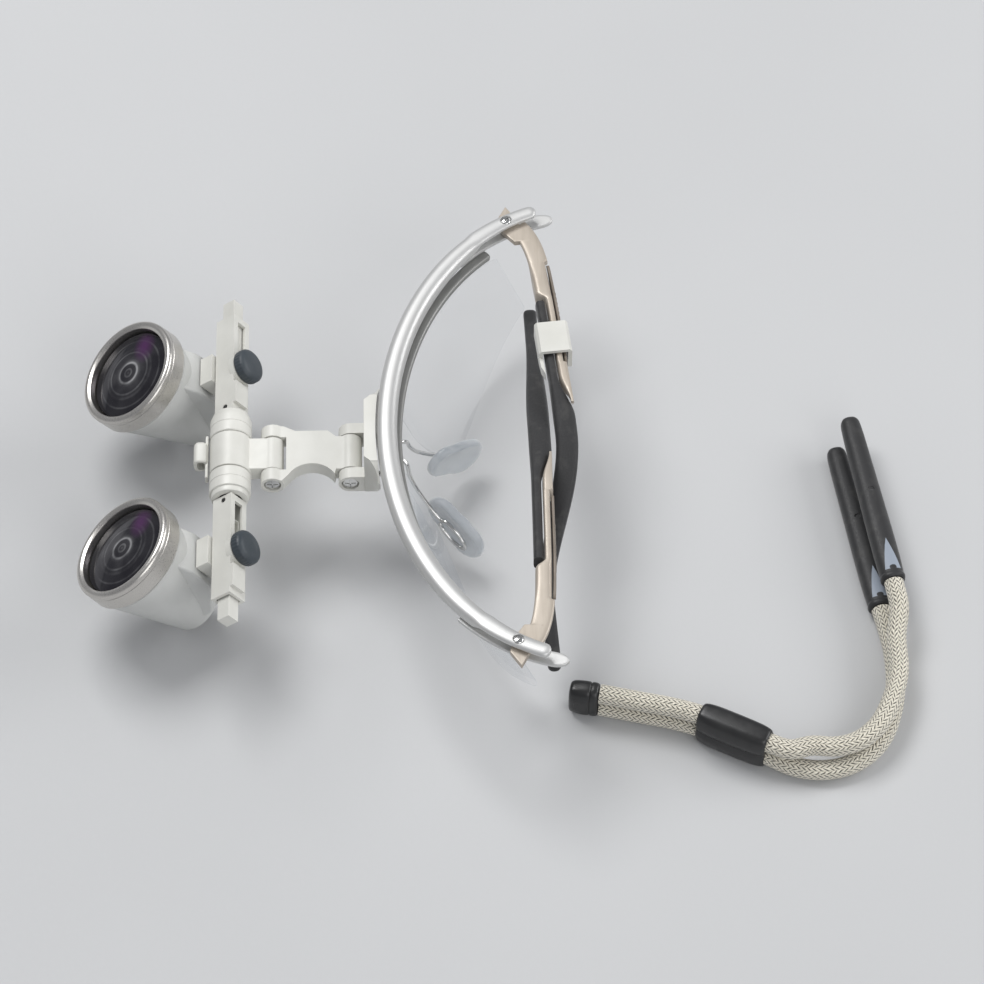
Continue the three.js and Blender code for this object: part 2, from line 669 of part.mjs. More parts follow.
function mountBracket() {
  const outline = [];
  const reach = Math.asin(FIN_TIP / BROW_A);
  for (let i = 0; i <= 12; i++) {
    const { x, y } = browPoint(THREE.MathUtils.lerp(-reach, reach, i / 12), -2.7 - GAP);
    outline.push([x, y]);
  }
  // The front face flares back from the ears to a thin fin at each end, in a hollow curve.
  const front = [];
  const tipY = outline[0][1] - 0.6;
  for (let i = 0; i <= 6; i++) {
    const t = i / 6;
    front.push([
      THREE.MathUtils.lerp(FIN_TIP, FIN_ROOT, t),
      THREE.MathUtils.lerp(tipY, PLATE_FRONT_Y, t ** 2.2),
    ]);
  }
  outline.push(...front, ...front.map(([x, y]) => [-x, y]).reverse());
  let body = plate(outline, PLATE_LOW, PLATE_HIGH);
  for (const side of [-1, 1]) {
    const ear = [FORK_IN * side, FORK_OUT * side].sort((a, b) => a - b);
    body = fuse(
      body,
      cylinderX(...ear, BRACKET_PIN_Y, LINK_Z, KNUCKLE_R),
      box(...ear, BRACKET_PIN_Y, PLATE_FRONT_Y + 0.7, LINK_Z - KNUCKLE_R, LINK_Z + KNUCKLE_R),
    );
  }
  const bores = [
    cylinderX(-12, 12, BRACKET_PIN_Y, LINK_Z, PIN_HOLE_R),
    cylinderX(FORK_OUT - HEAD_SINK, 12, BRACKET_PIN_Y, LINK_Z, HEAD_SINK_R),
    cylinderY(-BRIDGE_SCREW_X, -36.2, -30, BRIDGE_SCREW_Z, BRIDGE_HOLE_R),
    cylinderY(BRIDGE_SCREW_X, -36.2, -30, BRIDGE_SCREW_Z, BRIDGE_HOLE_R),
  ];
  // Each fin is cut away below and above, so that it ends in a point.
  const end = FIN_TIP + 0.5;
  const [below, above] = [PLATE_LOW - 5, PLATE_HIGH + 5];
  const cuts = [
    [[FIN_ROOT, below], [FIN_ROOT, PLATE_LOW + 0.2], [end, FIN_LOW], [end, below]],
    [[FIN_ROOT + 1.5, above], [FIN_ROOT + 1.5, PLATE_HIGH - 0.2], [end, FIN_HIGH], [end, above]],
  ];
  for (const cut of cuts) {
    for (const side of [-1, 1]) {
      bores.push(plate(cut.map(([x, z]) => [side * x, z]), 30, 45).rotateX(Math.PI / 2));
    }
  }
  return carve(body, ...bores);
}

function linkArm() {
  const waist = [
    [-LINK_HALF, -46.2], [-7.3, -48.4], [-7.3, -57], [-FORK_OUT, -60], [-FORK_OUT, FRONT_PIN_Y],
  ];
  const right = [[FORK_OUT, FRONT_PIN_Y], [FORK_OUT, -60.4]];
  for (let i = 0; i <= 10; i++) {
    const t = THREE.MathUtils.lerp(-1.05, 1.05, i / 10);
    right.push([10.4 - 7 * Math.cos(t), -52.6 + 7 * Math.sin(t)]);
  }
  right.push([LINK_HALF, -46.2], [LINK_HALF, BRACKET_PIN_Y]);
  const web = plate([[-LINK_HALF, BRACKET_PIN_Y], ...waist, ...right], LINK_Z - 2.2, LINK_Z + 2.2);
  const body = fuse(
    web,
    cylinderX(-LINK_HALF, LINK_HALF, BRACKET_PIN_Y, LINK_Z, KNUCKLE_R),
    cylinderX(-FORK_OUT, FORK_OUT, FRONT_PIN_Y, LINK_Z, KNUCKLE_R),
  );
  return carve(
    body,
    box(-FORK_IN + GAP, FORK_IN - GAP, -70, FRONT_PIN_Y + KNUCKLE_R + 0.5, 20, 40),
    cylinderX(-12, 12, BRACKET_PIN_Y, LINK_Z, PIN_HOLE_R),
    cylinderX(-12, 12, FRONT_PIN_Y, LINK_Z, PIN_HOLE_R),
    cylinderX(FORK_OUT - HEAD_SINK, 12, FRONT_PIN_Y, LINK_Z, HEAD_SINK_R),
  );
}

function hingePin(y) {
  const shank = cylinderX(-FORK_OUT + 0.2, FORK_OUT - 0.9, y, LINK_Z, PIN_R, 16);
  const head = cylinderX(FORK_OUT - 1.2, FORK_OUT - 0.3, y, LINK_Z, 2, 16);
  return fuse(shank, head);
}

function pivotBlock() {
  const body = fuse(
    cylinderX(-BLOCK_HALF, BLOCK_HALF, FRONT_PIN_Y, LINK_Z, KNUCKLE_R - 0.2),
    box(-BLOCK_HALF, BLOCK_HALF, BARREL_Y + 3, FRONT_PIN_Y, LINK_Z - 2.4, LINK_Z + 2.4),
    cylinderX(-COLLAR_HALF, COLLAR_HALF, BARREL_Y, LINK_Z, BARREL_R, 24),
  );
  return carve(
    body,
    cylinderX(-12, 12, FRONT_PIN_Y, LINK_Z, PIN_HOLE_R),
    cylinderX(-12, 12, BARREL_Y, LINK_Z, AXLE_R + GAP, 16),
  );
}

piece(frameGroup, 'mount_bracket', mountBracket(), polymer);
piece(frameGroup, 'bracket_pin', hingePin(BRACKET_PIN_Y), chrome);
piece(frameGroup, 'link_arm', linkArm(), polymer);
piece(frameGroup, 'front_pin', hingePin(FRONT_PIN_Y), chrome);
piece(frameGroup, 'pivot_block', pivotBlock(), polymer);

// ---------------------------------------------------------------- optics bar

function barrelSleeve(side) {
  const geometry = turned([
    [AXLE_R + GAP, -BARREL_HALF],
    [BARREL_R - 0.7, -BARREL_HALF],
    [BARREL_R, -BARREL_HALF + 0.7],
    [BARREL_R, -COLLAR_HALF - GAP],
    [AXLE_R + GAP, -COLLAR_HALF - GAP],
    [AXLE_R + GAP, -BARREL_HALF],
  ], 24);
  return geometry.rotateZ(side > 0 ? Math.PI / 2 : -Math.PI / 2);
}

// Both rails are cut from the same part, so their slots and knobs are not mirrored. A rail is drawn
// from x = 0 at its end towards -X; only the arm's slot and the set screw are on different sides.
function boxRail(word) {
  const half = RAIL / 2;
  const bore = SLIDER / 2 + GAP;
  const body = fuse(
    box(0, RAIL_LENGTH, -half, half, -half, half),
    cylinderZ(KNOB_X, 0, half - 1, half + 0.8, 4.2, 18),
    box(KNOB_X + 5.4, KNOB_X + 12.4, -half, half - 1.4, half - 1, half + 1),
  );
  const rest = (word === 'right' ? -PUPIL_HALF : PUPIL_HALF) - RAIL_START[word];
  const [low, high] = word === 'right' ? [PD_OUT, PD_IN] : [PD_IN, PD_OUT];
  return carve(
    body,
    box(-1, RAIL_LENGTH + 1, -bore, bore, -bore, bore),
    box(...RAIL_SLOT, -RAIL_SLOT_HALF, RAIL_SLOT_HALF, 0, half + 2),
    cylinderZ(KNOB_X, 0, 0, half + 2, STEM_R + GAP, 14),
    box(rest - low - ARM_HALF - 2 * GAP, rest + high + ARM_HALF + 2 * GAP, -1.6, 1.6, -half - 2, 0),
    cylinderY(SCREW_X[word], -half - 1, -half + 0.9, 0.4, 0.75, 10),
  );
}

function setScrew(word) {
  return cylinderY(SCREW_X[word], -RAIL / 2 - 0.1, -RAIL / 2 + 0.6, 0.4, 0.5, 10);
}

// A socket that opens towards +X, on a saddle that spans the barrel's middle collar.
function leverSocket() {
  const section = roundedSection(SOCKET_DEPTH, SOCKET_RISE, 16, 0.62);
  const stations = [[-5, 0.55], [-4.6, 0.8], [-3.8, 0.96], [-3, 1], [1.8, 1], [2.2, 0.92]];
  const shell = loft(stations.map(([x, grown]) => (
    section.map(([y, z]) => new THREE.Vector3(x, SOCKET_Y + y * grown, z * grown))
  )));
  const pocket = loft([-1.5, 4].map((x) => (
    roundedSection(SOCKET_DEPTH - 0.9, SOCKET_RISE - 0.9, 12).map(([y, z]) => (
      new THREE.Vector3(x, SOCKET_Y + y, z)
    ))
  )));
  const saddle = box(-6.8, 6.8, -6.6, -BARREL_R - GAP, -1.3, 1.3);
  return carve(fuse(shell, saddle), pocket);
}

const swingAxle = cylinderX(-BARREL_HALF + 0.4, BARREL_HALF - 0.4, 0, 0, AXLE_R, 16);
piece(opticsGroup, 'swing_axle', swingAxle, blackMetal);
piece(opticsGroup, 'barrel_sleeve_right', barrelSleeve(-1), polymer);
piece(opticsGroup, 'barrel_sleeve_left', barrelSleeve(1), polymer);
piece(opticsGroup, 'lever_socket', leverSocket().rotateX(SOCKET_TURN), polymer);

// ---------------------------------------------------------------- telescopes

function slider(word) {
  const half = SLIDER / 2;
  const side = word === 'right' ? -1 : 1;
  const ends = SLIDER_REACH.map((reach) => side * (reach - PUPIL_HALF)).sort((a, b) => a - b);
  const body = fuse(
    box(...ends, -half, half, -half, half),
    box(-ARM_HALF, ARM_HALF, -1.3, 1.3, -4, 0),
    box(-4.4, 4.4, -4.4, 1.3, -7.4, -RAIL / 2 - GAP),
  );
  const stem = RAIL_START[word] + KNOB_X - side * PUPIL_HALF;
  const [low, high] = word === 'right' ? [PD_IN, PD_OUT] : [PD_OUT, PD_IN];
  return carve(body, box(stem - low - 1.6, stem + high + 1.6, -1.35, 1.35, 0.2, 4));
}

function housing() {
  const cone = turned([
    [0, BEZEL_BACK + GAP],
    [HOUSING_FRONT_R, BEZEL_BACK + GAP],
    [HOUSING_BACK_R, HOUSING_BACK - 1.2],
    [HOUSING_BACK_R - 1.2, HOUSING_BACK],
    [0, HOUSING_BACK],
  ], 28).translate(0, 0, -SIGHT_DROP);
  const outline = new THREE.Shape();
  outline.moveTo(BEZEL_BACK + 1, -9.6);
  outline.lineTo(-4.6, -7.75);
  outline.lineTo(2.6, -7.75);
  outline.lineTo(HOUSING_BACK - 2, -14.6);
  outline.lineTo(HOUSING_BACK - 2, -SIGHT_DROP);
  outline.lineTo(BEZEL_BACK + 1, -SIGHT_DROP);
  outline.closePath();
  const gusset = new THREE.ExtrudeGeometry(outline, { depth: 13, bevelEnabled: false });
  gusset.translate(0, 0, -6.5);
  const basis = new THREE.Matrix4().makeBasis(
    new THREE.Vector3(0, 1, 0),
    new THREE.Vector3(0, 0, 1),
    new THREE.Vector3(1, 0, 0),
  );
  gusset.applyMatrix4(basis);
  const bore = turned([
    [0, BEZEL_BACK - 1],
    [12.9, BEZEL_BACK - 1],
    [EYEPIECE_R, HOUSING_BACK - 4.4],
    [EYEPIECE_R, HOUSING_BACK + 1],
    [0, HOUSING_BACK + 1],
  ], 28).translate(0, 0, -SIGHT_DROP);
  return carve(fuse(cone, gusset), bore);
}

function bezel() {
  return turned([
    [GLASS_R + 0.4, BEZEL_FRONT + 0.6],
    [GLASS_R + 1, BEZEL_FRONT],
    [BEZEL_R - 0.7, BEZEL_FRONT],
    [BEZEL_R, BEZEL_FRONT + 0.8],
    [BEZEL_R, BEZEL_BACK],
    [GLASS_R + 0.4, BEZEL_BACK],
    [GLASS_R + 0.4, BEZEL_FRONT + 0.6],
  ], 28).translate(0, 0, -SIGHT_DROP);
}

function objective() {
  return turned([[0, -17.4], [6, -17.1], [10, -16.5], [GLASS_R, -15.8], [GLASS_R, -13], [0, -12.6]], 28)
    .translate(0, 0, -SIGHT_DROP);
}

// A conical shield inside the housing, between the two lenses.
function baffle() {
  return turned([
    [11.6, -11.2], [6.1, 6.9], [4.5, 6.9], [4.5, 6.1], [5.4, 6.1], [10.8, -11.2], [11.6, -11.2],
  ], 20).translate(0, 0, -SIGHT_DROP);
}

function eyepieceRing() {
  return turned([
    [EYEPIECE_R - 1.2, HOUSING_BACK - 4], [EYEPIECE_R - GAP, HOUSING_BACK - 4],
    [EYEPIECE_R - GAP, HOUSING_BACK - 0.4], [EYEPIECE_R - 1.2, HOUSING_BACK - 0.4],
    [EYEPIECE_R - 1.2, HOUSING_BACK - 4],
  ], 24).translate(0, 0, -SIGHT_DROP);
}

function eyepiece() {
  const edge = EYEPIECE_R - 1.5;
  const y = HOUSING_BACK - 4.4;
  return turned([[0, y + 0.6], [edge, y], [edge, y + 2.2], [0, y + 1.8]], 24).translate(0, 0, -SIGHT_DROP);
}

function knob() {
  const base = RAIL / 2 + 1.1;
  return turned([
    [0, 0.5], [STEM_R, 0.5], [STEM_R, base], [KNOB_R - 0.5, base], [KNOB_R, base + 0.5],
    [KNOB_R, base + 1.9], [KNOB_R - 0.6, base + 2.8], [KNOB_R - 2, base + 3.4], [0, base + 3.7],
  ], 20).rotateX(Math.PI / 2);
}

for (const word of ['right', 'left']) {
  const railX = RAIL_START[word];
  piece(opticsGroup, `rail_${word}`, boxRail(word).translate(railX, 0, 0), polymer);
  piece(opticsGroup, `set_screw_${word}`, setScrew(word).translate(railX, 0, 0), blackMetal);
  piece(opticsGroup, `knob_${word}`, knob().translate(railX + KNOB_X, 0, 0), slate);

  const telescope = new THREE.Group();
  telescope.position.x = word === 'right' ? -PUPIL_HALF : PUPIL_HALF;
  opticsGroup.add(telescope);
  piece(telescope, `slider_${word}`, slider(word), polymer);

  const barrel = new THREE.Group();
  barrel.rotation.z = word === 'right' ? CONVERGENCE : -CONVERGENCE;
  telescope.add(barrel);
  piece(barrel, `housing_${word}`, housing(), greyPolymer);
  piece(barrel, `bezel_${word}`, bezel(), satin);
  piece(barrel, `objective_${word}`, objective(), glass);
  piece(barrel, `baffle_${word}`, baffle(), blackMetal);
  piece(barrel, `eyepiece_ring_${word}`, eyepieceRing(), blackMetal);
  piece(barrel, `eyepiece_${word}`, eyepiece(), glass);
}

// ---------------------------------------------------------------- retaining cord

function strand(route, radius, sides, steps) {
  const curve = new THREE.CatmullRomCurve3(route.map((point) => new THREE.Vector3(...point)));
  return tube(curve, radius, sides, steps);
}

// Rings along a level line; each station is [distance, half width, half height].
function levelLoft(start, heading, stations, count) {
  const along = new THREE.Vector3(Math.cos(heading), Math.sin(heading), 0);
  const aside = new THREE.Vector3(-along.y, along.x, 0);
  return loft(stations.map(([distance, half, high]) => (
    roundedSection(half, high, count, 0.8).map(([across, up]) => start.clone()
      .addScaledVector(along, distance)
      .addScaledVector(aside, across)
      .add(new THREE.Vector3(0, 0, up)))
  )));
}

// The slider has one channel for each strand.
function cordSlider() {
  const run = SLIDER_BACK.clone().sub(SLIDER_FRONT);
  const length = run.length();
  const stations = [
    [0, 3.5, 3.3], [2.5, 4, 3.45], [length / 2, 4.2, 3.5], [length - 2.5, 4, 3.45], [length, 3.5, 3.3],
  ];
  const channels = [-CHANNEL_RISE, CHANNEL_RISE].map((rise) => (
    levelLoft(SLIDER_FRONT.clone().setZ(SLIDER_FRONT.z + rise), Math.atan2(run.y, run.x), stations, 12)
  ));
  const bores = [LOWER_ROUTE, UPPER_ROUTE].map((route) => (
    strand(route.slice(2, 9), CORD / 2 + GAP, 10, 14)
  ));
  return carve(fuse(...channels), ...bores);
}

function endFerrule() {
  const front = new THREE.Vector3(60.5, 13.6, 5.5);
  const back = new THREE.Vector3(...LOWER_ROUTE[0]).setZ(front.z);
  const length = front.distanceTo(back) - GAP;
  const stations = [[0, 2.2, 4.2], [0.8, 3, 5.1], [length - 0.8, 3.2, 5.4], [length, 2.9, 5.2]];
  return levelLoft(front, Math.atan2(back.y - front.y, back.x - front.x), stations, 14);
}

// A soft sleeve that slips over a temple tip: its mouth grips the cord and its far end is open.
function cordSleeve(route, heading, length) {
  const mouth = new THREE.Vector3(...route[route.length - 1]);
  const [half, high] = [SLEEVE_WIDTH / 2, SLEEVE_HEIGHT / 2];
  const body = levelLoft(mouth, heading, [
    [GAP, 0.86 * half, 0.92 * high], [1.4, 0.97 * half, high], [6, half, high], [26, 0.95 * half, high],
    [length - 4, 0.82 * half, 0.86 * high], [length - 0.8, 0.74 * half, 0.8 * high],
    [length, 0.62 * half, 0.68 * high],
  ], 12);
  const hollow = levelLoft(mouth, heading, [[length - 28, 1.4, 1.1], [length + 1, 1.5, 1.4]], 10);
  return carve(body, hollow);
}

piece(frameGroup, 'cord_lower', strand(LOWER_ROUTE, CORD / 2, 8, 22), braid);
piece(frameGroup, 'cord_upper', strand(UPPER_ROUTE, CORD / 2, 8, 22), braid);
piece(frameGroup, 'cord_slider', cordSlider(), blackMetal);
piece(frameGroup, 'cord_end_ferrule', endFerrule(), blackMetal);
piece(frameGroup, 'cord_sleeve_lower', cordSleeve(LOWER_ROUTE, -2.981, 53), rubber);
piece(frameGroup, 'cord_sleeve_upper', cordSleeve(UPPER_ROUTE, -2.993, 54), rubber);

export default loupes;
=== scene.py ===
"""Looks of the dental loupes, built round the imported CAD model: finer surfaces for the moulded and turned
pieces, a braided cord, and a procedural material for every piece. Lengths are in millimetres until they
reach Blender, which has metres."""

import json
from math import asin, atan2, copysign, cos, exp, pi, radians, sin, sqrt, tau

import bmesh
import bpy
import numpy as np
from mathutils import Matrix, Vector
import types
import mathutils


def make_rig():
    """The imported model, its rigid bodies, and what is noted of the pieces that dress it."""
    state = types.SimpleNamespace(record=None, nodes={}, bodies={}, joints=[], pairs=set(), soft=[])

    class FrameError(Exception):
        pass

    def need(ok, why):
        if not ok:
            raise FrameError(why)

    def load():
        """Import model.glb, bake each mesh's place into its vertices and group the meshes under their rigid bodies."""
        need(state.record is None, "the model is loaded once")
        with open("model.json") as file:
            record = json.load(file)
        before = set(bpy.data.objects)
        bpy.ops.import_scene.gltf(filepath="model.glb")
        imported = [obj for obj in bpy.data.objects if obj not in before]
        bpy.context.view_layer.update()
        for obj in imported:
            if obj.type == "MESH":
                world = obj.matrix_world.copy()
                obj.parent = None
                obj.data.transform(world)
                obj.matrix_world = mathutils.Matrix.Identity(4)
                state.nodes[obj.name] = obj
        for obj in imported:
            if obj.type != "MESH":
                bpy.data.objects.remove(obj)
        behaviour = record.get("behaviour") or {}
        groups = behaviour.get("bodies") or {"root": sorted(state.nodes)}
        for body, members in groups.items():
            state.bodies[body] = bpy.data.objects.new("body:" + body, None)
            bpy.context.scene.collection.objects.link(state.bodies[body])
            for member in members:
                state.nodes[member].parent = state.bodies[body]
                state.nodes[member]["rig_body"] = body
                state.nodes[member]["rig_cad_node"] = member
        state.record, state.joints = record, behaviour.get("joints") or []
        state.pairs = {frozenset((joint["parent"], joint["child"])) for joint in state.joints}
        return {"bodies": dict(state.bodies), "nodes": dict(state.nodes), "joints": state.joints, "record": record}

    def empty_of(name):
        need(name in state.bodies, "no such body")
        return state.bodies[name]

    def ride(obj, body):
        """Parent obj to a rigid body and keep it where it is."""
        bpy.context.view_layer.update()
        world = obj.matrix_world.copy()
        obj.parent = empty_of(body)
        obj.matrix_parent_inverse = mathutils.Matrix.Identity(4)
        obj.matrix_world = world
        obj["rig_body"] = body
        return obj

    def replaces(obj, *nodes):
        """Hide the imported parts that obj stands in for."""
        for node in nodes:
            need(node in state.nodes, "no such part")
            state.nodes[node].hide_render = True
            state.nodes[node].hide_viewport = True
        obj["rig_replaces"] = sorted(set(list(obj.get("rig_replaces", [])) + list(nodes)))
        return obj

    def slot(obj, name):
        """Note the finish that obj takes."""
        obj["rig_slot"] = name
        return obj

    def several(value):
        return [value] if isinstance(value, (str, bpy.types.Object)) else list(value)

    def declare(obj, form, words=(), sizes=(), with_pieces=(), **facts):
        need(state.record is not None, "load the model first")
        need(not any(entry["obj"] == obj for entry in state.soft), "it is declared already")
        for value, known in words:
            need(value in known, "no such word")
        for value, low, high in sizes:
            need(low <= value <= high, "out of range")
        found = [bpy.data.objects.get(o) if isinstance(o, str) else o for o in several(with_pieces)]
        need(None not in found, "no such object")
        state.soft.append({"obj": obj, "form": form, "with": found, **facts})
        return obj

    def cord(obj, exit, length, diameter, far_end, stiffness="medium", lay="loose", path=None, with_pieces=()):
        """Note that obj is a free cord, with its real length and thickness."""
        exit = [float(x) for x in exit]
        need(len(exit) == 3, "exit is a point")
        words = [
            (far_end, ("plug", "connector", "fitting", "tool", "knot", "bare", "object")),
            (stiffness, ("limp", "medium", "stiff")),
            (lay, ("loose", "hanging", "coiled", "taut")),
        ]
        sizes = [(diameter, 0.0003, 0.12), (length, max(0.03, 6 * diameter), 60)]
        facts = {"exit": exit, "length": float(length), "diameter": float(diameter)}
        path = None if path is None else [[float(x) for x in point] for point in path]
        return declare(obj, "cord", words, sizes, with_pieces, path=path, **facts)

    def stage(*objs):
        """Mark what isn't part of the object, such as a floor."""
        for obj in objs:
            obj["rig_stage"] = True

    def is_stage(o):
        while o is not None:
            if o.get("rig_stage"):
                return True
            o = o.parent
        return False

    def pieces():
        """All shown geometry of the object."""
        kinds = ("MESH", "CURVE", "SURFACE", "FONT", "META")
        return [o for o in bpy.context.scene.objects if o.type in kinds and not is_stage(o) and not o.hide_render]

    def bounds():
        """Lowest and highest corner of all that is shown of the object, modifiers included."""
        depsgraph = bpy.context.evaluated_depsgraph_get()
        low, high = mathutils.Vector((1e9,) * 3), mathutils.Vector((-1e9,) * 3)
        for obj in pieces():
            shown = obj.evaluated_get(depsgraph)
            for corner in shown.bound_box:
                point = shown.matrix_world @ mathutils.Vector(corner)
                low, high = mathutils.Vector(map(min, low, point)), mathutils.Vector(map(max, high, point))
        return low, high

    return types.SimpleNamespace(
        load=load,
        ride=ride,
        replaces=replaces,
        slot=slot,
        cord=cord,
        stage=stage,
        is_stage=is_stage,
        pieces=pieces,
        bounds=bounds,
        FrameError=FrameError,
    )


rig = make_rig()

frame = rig.load()
cad_box = [list(corner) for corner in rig.bounds()]

MM = 0.001

# ---- dimensions, in millimetres, as in the CAD

GAP = 0.3
ORIGIN_Y = -48.3

HINGE_X = 68.5
BROW_A = 74.0
BROW_B = 52.5
BROW_Y = BROW_B * cos(asin(HINGE_X / BROW_A))
BAR_TOP = 43.7
BAR_TIP_ANGLE = radians(77)
THROAT_ANGLE = radians(58)
TINE = 2.0
LUG_TOP = 39.3
LUG_HALF = 0.6
SCREW_HOLE_R = 1.1
UNDER_RAIL_Z = 36.7
RAIL_INSET = 2.4
LENS_TOP = 35.3
LENS_LEAN = 0.37
LENS_THICK = 1.8
LENS_INNER = 9.5
LENS_OUTER = 65.2

ARM_TOP = 41.4
ARM_BOTTOM = 35.9
ARM_END = 61.0
INLAY_START = 14.0
INLAY_END = 48.0
SLEEVE_START = 26.0
EYE_THICK = 1.8
ARM_FACE = 2.6
INLAY_SEAT = 1.7
TEMPLE_LENGTH = 128.0
TIP_ROUND = 1.5
RIGHT_FOLD = radians(6)
DROOP_START = 50.0
DROOP_END = 76.0
DROOP_SLOPE = 0.36

LINK_Z = 29.5
BRACKET_PIN_Y = -42.5
FRONT_PIN_Y = -62.9
FORK_OUT = 8.9
BRIDGE_Y = -31.9
BRIDGE_SCREW_X = 6.2
BRIDGE_SCREW_Z = 30.3
WIRE_R = 0.55
PAD_CENTRE = Vector((-11.2, -15.2, 13.1))
PAD_LONG = Vector((-0.57, 0.64, -0.52)).normalized()

BARREL_Y = -74.0
FLIP_UP = radians(-52.9)
BARREL_R = 5.5
BARREL_HALF = 13.6
BARREL_BORE = 3.3
COLLAR_HALF = 5.5
SOCKET_Y = -7.8
RAIL = 6.2
PUPIL_HALF = 29.8
SIGHT_DROP = 21.6
BEZEL_R = 15.2
BEZEL_FRONT = -18.2
BEZEL_BACK = -11.8
GLASS_R = 12.5
GLASS_FRONT = -17.4
HOUSING_BACK = 13.4
HOUSING_FRONT_R = 14.5
HOUSING_BACK_R = 7.5
BACK_ROUND = 1.2
EYEPIECE_R = 6.1
CONVERGENCE = radians(3.5)
KNOB_R = 4.75
KNOB_PLACE = {"right": -28.1, "left": 31.3}

CORD = 5.2
SLEEVE_WIDTH = 6.8
SLEEVE_HEIGHT = 6.2
LOWER_ROUTE = [
    (62.1, 21.4, 2.8), (63.1, 25.8, 2.7), (64.6, 31.8, 2.7), (67.2, 40.6, 3.2), (69.8, 47.1, 3.6),
    (74.8, 56.6, 3.6), (78.9, 64.3, 3.6), (81.9, 70.6, 2.9), (83.1, 77.0, 2.7), (82.2, 83.6, 2.7),
    (78.9, 89.6, 2.7), (73.5, 94.2, 2.7), (65.6, 97.3, 2.7), (56.6, 98.9, 2.7), (46.3, 98.9, 2.8),
    (39.5, 97.9, 3.1), (33.7, 96.8, 3.2),
]
UPPER_ROUTE = [
    (62.1, 21.4, 8.3), (63.1, 25.8, 8.2), (64.6, 31.8, 8.2), (67.2, 40.6, 8.8), (69.8, 47.1, 9.2),
    (74.8, 56.6, 9.2), (78.5, 63.9, 9.1), (80.3, 69.6, 8.5), (79.1, 75.4, 8.2), (79.5, 81.4, 8.2),
    (77.9, 87.2, 8.2), (73.3, 92.6, 8.2), (65.6, 96.7, 8.2), (56.6, 99.3, 8.2), (45.8, 99.5, 8.5),
    (37.1, 100.8, 9.6), (29.5, 100.0, 9.7),
]
SLIDER_FRONT = Vector((69.8, 47.1, 6.4))
SLIDER_BACK = Vector((78.7, 64.1, 6.4))
CHANNEL_RISE = 2.8
CHANNEL_PLAY = 0.12

# ---- places

FRAME_PLACE = Matrix.Translation((0, -ORIGIN_Y, 0))
OPTICS_PLACE = FRAME_PLACE @ Matrix.Translation((0, BARREL_Y, LINK_Z)) @ Matrix.Rotation(FLIP_UP, 4, "X")
SIDES = {"right": -1, "left": 1}
MIRROR = Matrix.Diagonal((-1, 1, 1, 1))
UPRIGHT = Matrix.Rotation(pi / 2, 4, "X")  # turns a turned piece's axis from Y to Z


def telescope_place(side):
    arm = Matrix.Translation((SIDES[side] * PUPIL_HALF, 0, 0))
    turn = Matrix.Rotation(-CONVERGENCE * SIDES[side], 4, "Z")
    return OPTICS_PLACE @ arm @ turn @ Matrix.Translation((0, 0, -SIGHT_DROP))


def frame_at(x, y, z):
    return FRAME_PLACE @ Matrix.Translation((x, y, z))


def frame_place(side):
    """Frame coordinates for a piece that is drawn on the right-hand side."""
    return FRAME_PLACE if side == "right" else MIRROR @ FRAME_PLACE


def progress(x, low, high):
    return min(1.0, max(0.0, (x - low) / (high - low)))


def smoothstep(x, low, high):
    t = progress(x, low, high)
    return t * t * (3 - 2 * t)


def lerp(a, b, t):
    return a + (b - a) * t


def round_off(t, least):
    """How full a section is when it is t of the way, from 0 to 1, through a round end."""
    return max(least, sqrt(max(0.0, 1 - max(0.0, t) ** 2)))


def even(start, end, step):
    count = max(1, round((end - start) / step))
    return [lerp(start, end, i / count) for i in range(count + 1)]


def bent(value, power):
    return copysign(abs(value) ** power, value)


def offset(pairs, x, y):
    """Points in a plane from their steps off a corner at (x, y)."""
    return [(x + across, y + up) for across, up in pairs]


def new_object(name, data):
    obj = bpy.data.objects.new(name, data)
    bpy.context.scene.collection.objects.link(obj)
    return obj


def look(obj, place, aim):
    """Puts a camera or a lamp at a place and turns it to its aim."""
    obj.location = place
    obj.rotation_mode = "QUATERNION"
    obj.rotation_quaternion = (Vector(place) - Vector(aim)).to_track_quat("Z", "Y")


# ---- camera

PHOTO_EYE = (0.6813, 0.0283, 0.9399)
PHOTO_AIM = (0.0045, 0.0430, 0.0190)
PHOTO_LENS = 158


def add_camera():
    data = bpy.data.cameras.new("camera")
    data.lens = PHOTO_LENS
    data.clip_start, data.clip_end = 0.05, 20
    camera = new_object("camera", data)
    look(camera, PHOTO_EYE, PHOTO_AIM)
    bpy.context.scene.camera = camera


add_camera()

# ---- mesh helpers


def link(name, points, faces):
    """A new object from points in metres."""
    mesh = bpy.data.meshes.new(name)
    mesh.from_pydata([tuple(p) for p in points], [], faces)
    mesh.update()
    return new_object(name, mesh)


def outward(obj):
    """Turns the faces outward."""
    bm = bmesh.new()
    bm.from_mesh(obj.data)
    bmesh.ops.recalc_face_normals(bm, faces=bm.faces)
    bm.to_mesh(obj.data)
    bm.free()
    return obj


def loft(name, rings, place=FRAME_PLACE):
    """A closed skin through rings of points in millimetres, each with the same count."""
    count = len(rings[0])
    last = (len(rings) - 1) * count
    points = [(place @ Vector(p)) * MM for ring in rings for p in ring]
    faces = [tuple(range(count)), tuple(range(last, last + count))]
    for row in range(0, last, count):
        for a, b in zip(range(row, row + count), [*range(row + 1, row + count), row]):
            faces.append((a, b, b + count, a + count))
    return outward(link(name, points, faces))


AXIS_R = 1e-6  # a profile point nearer than this is on the axis


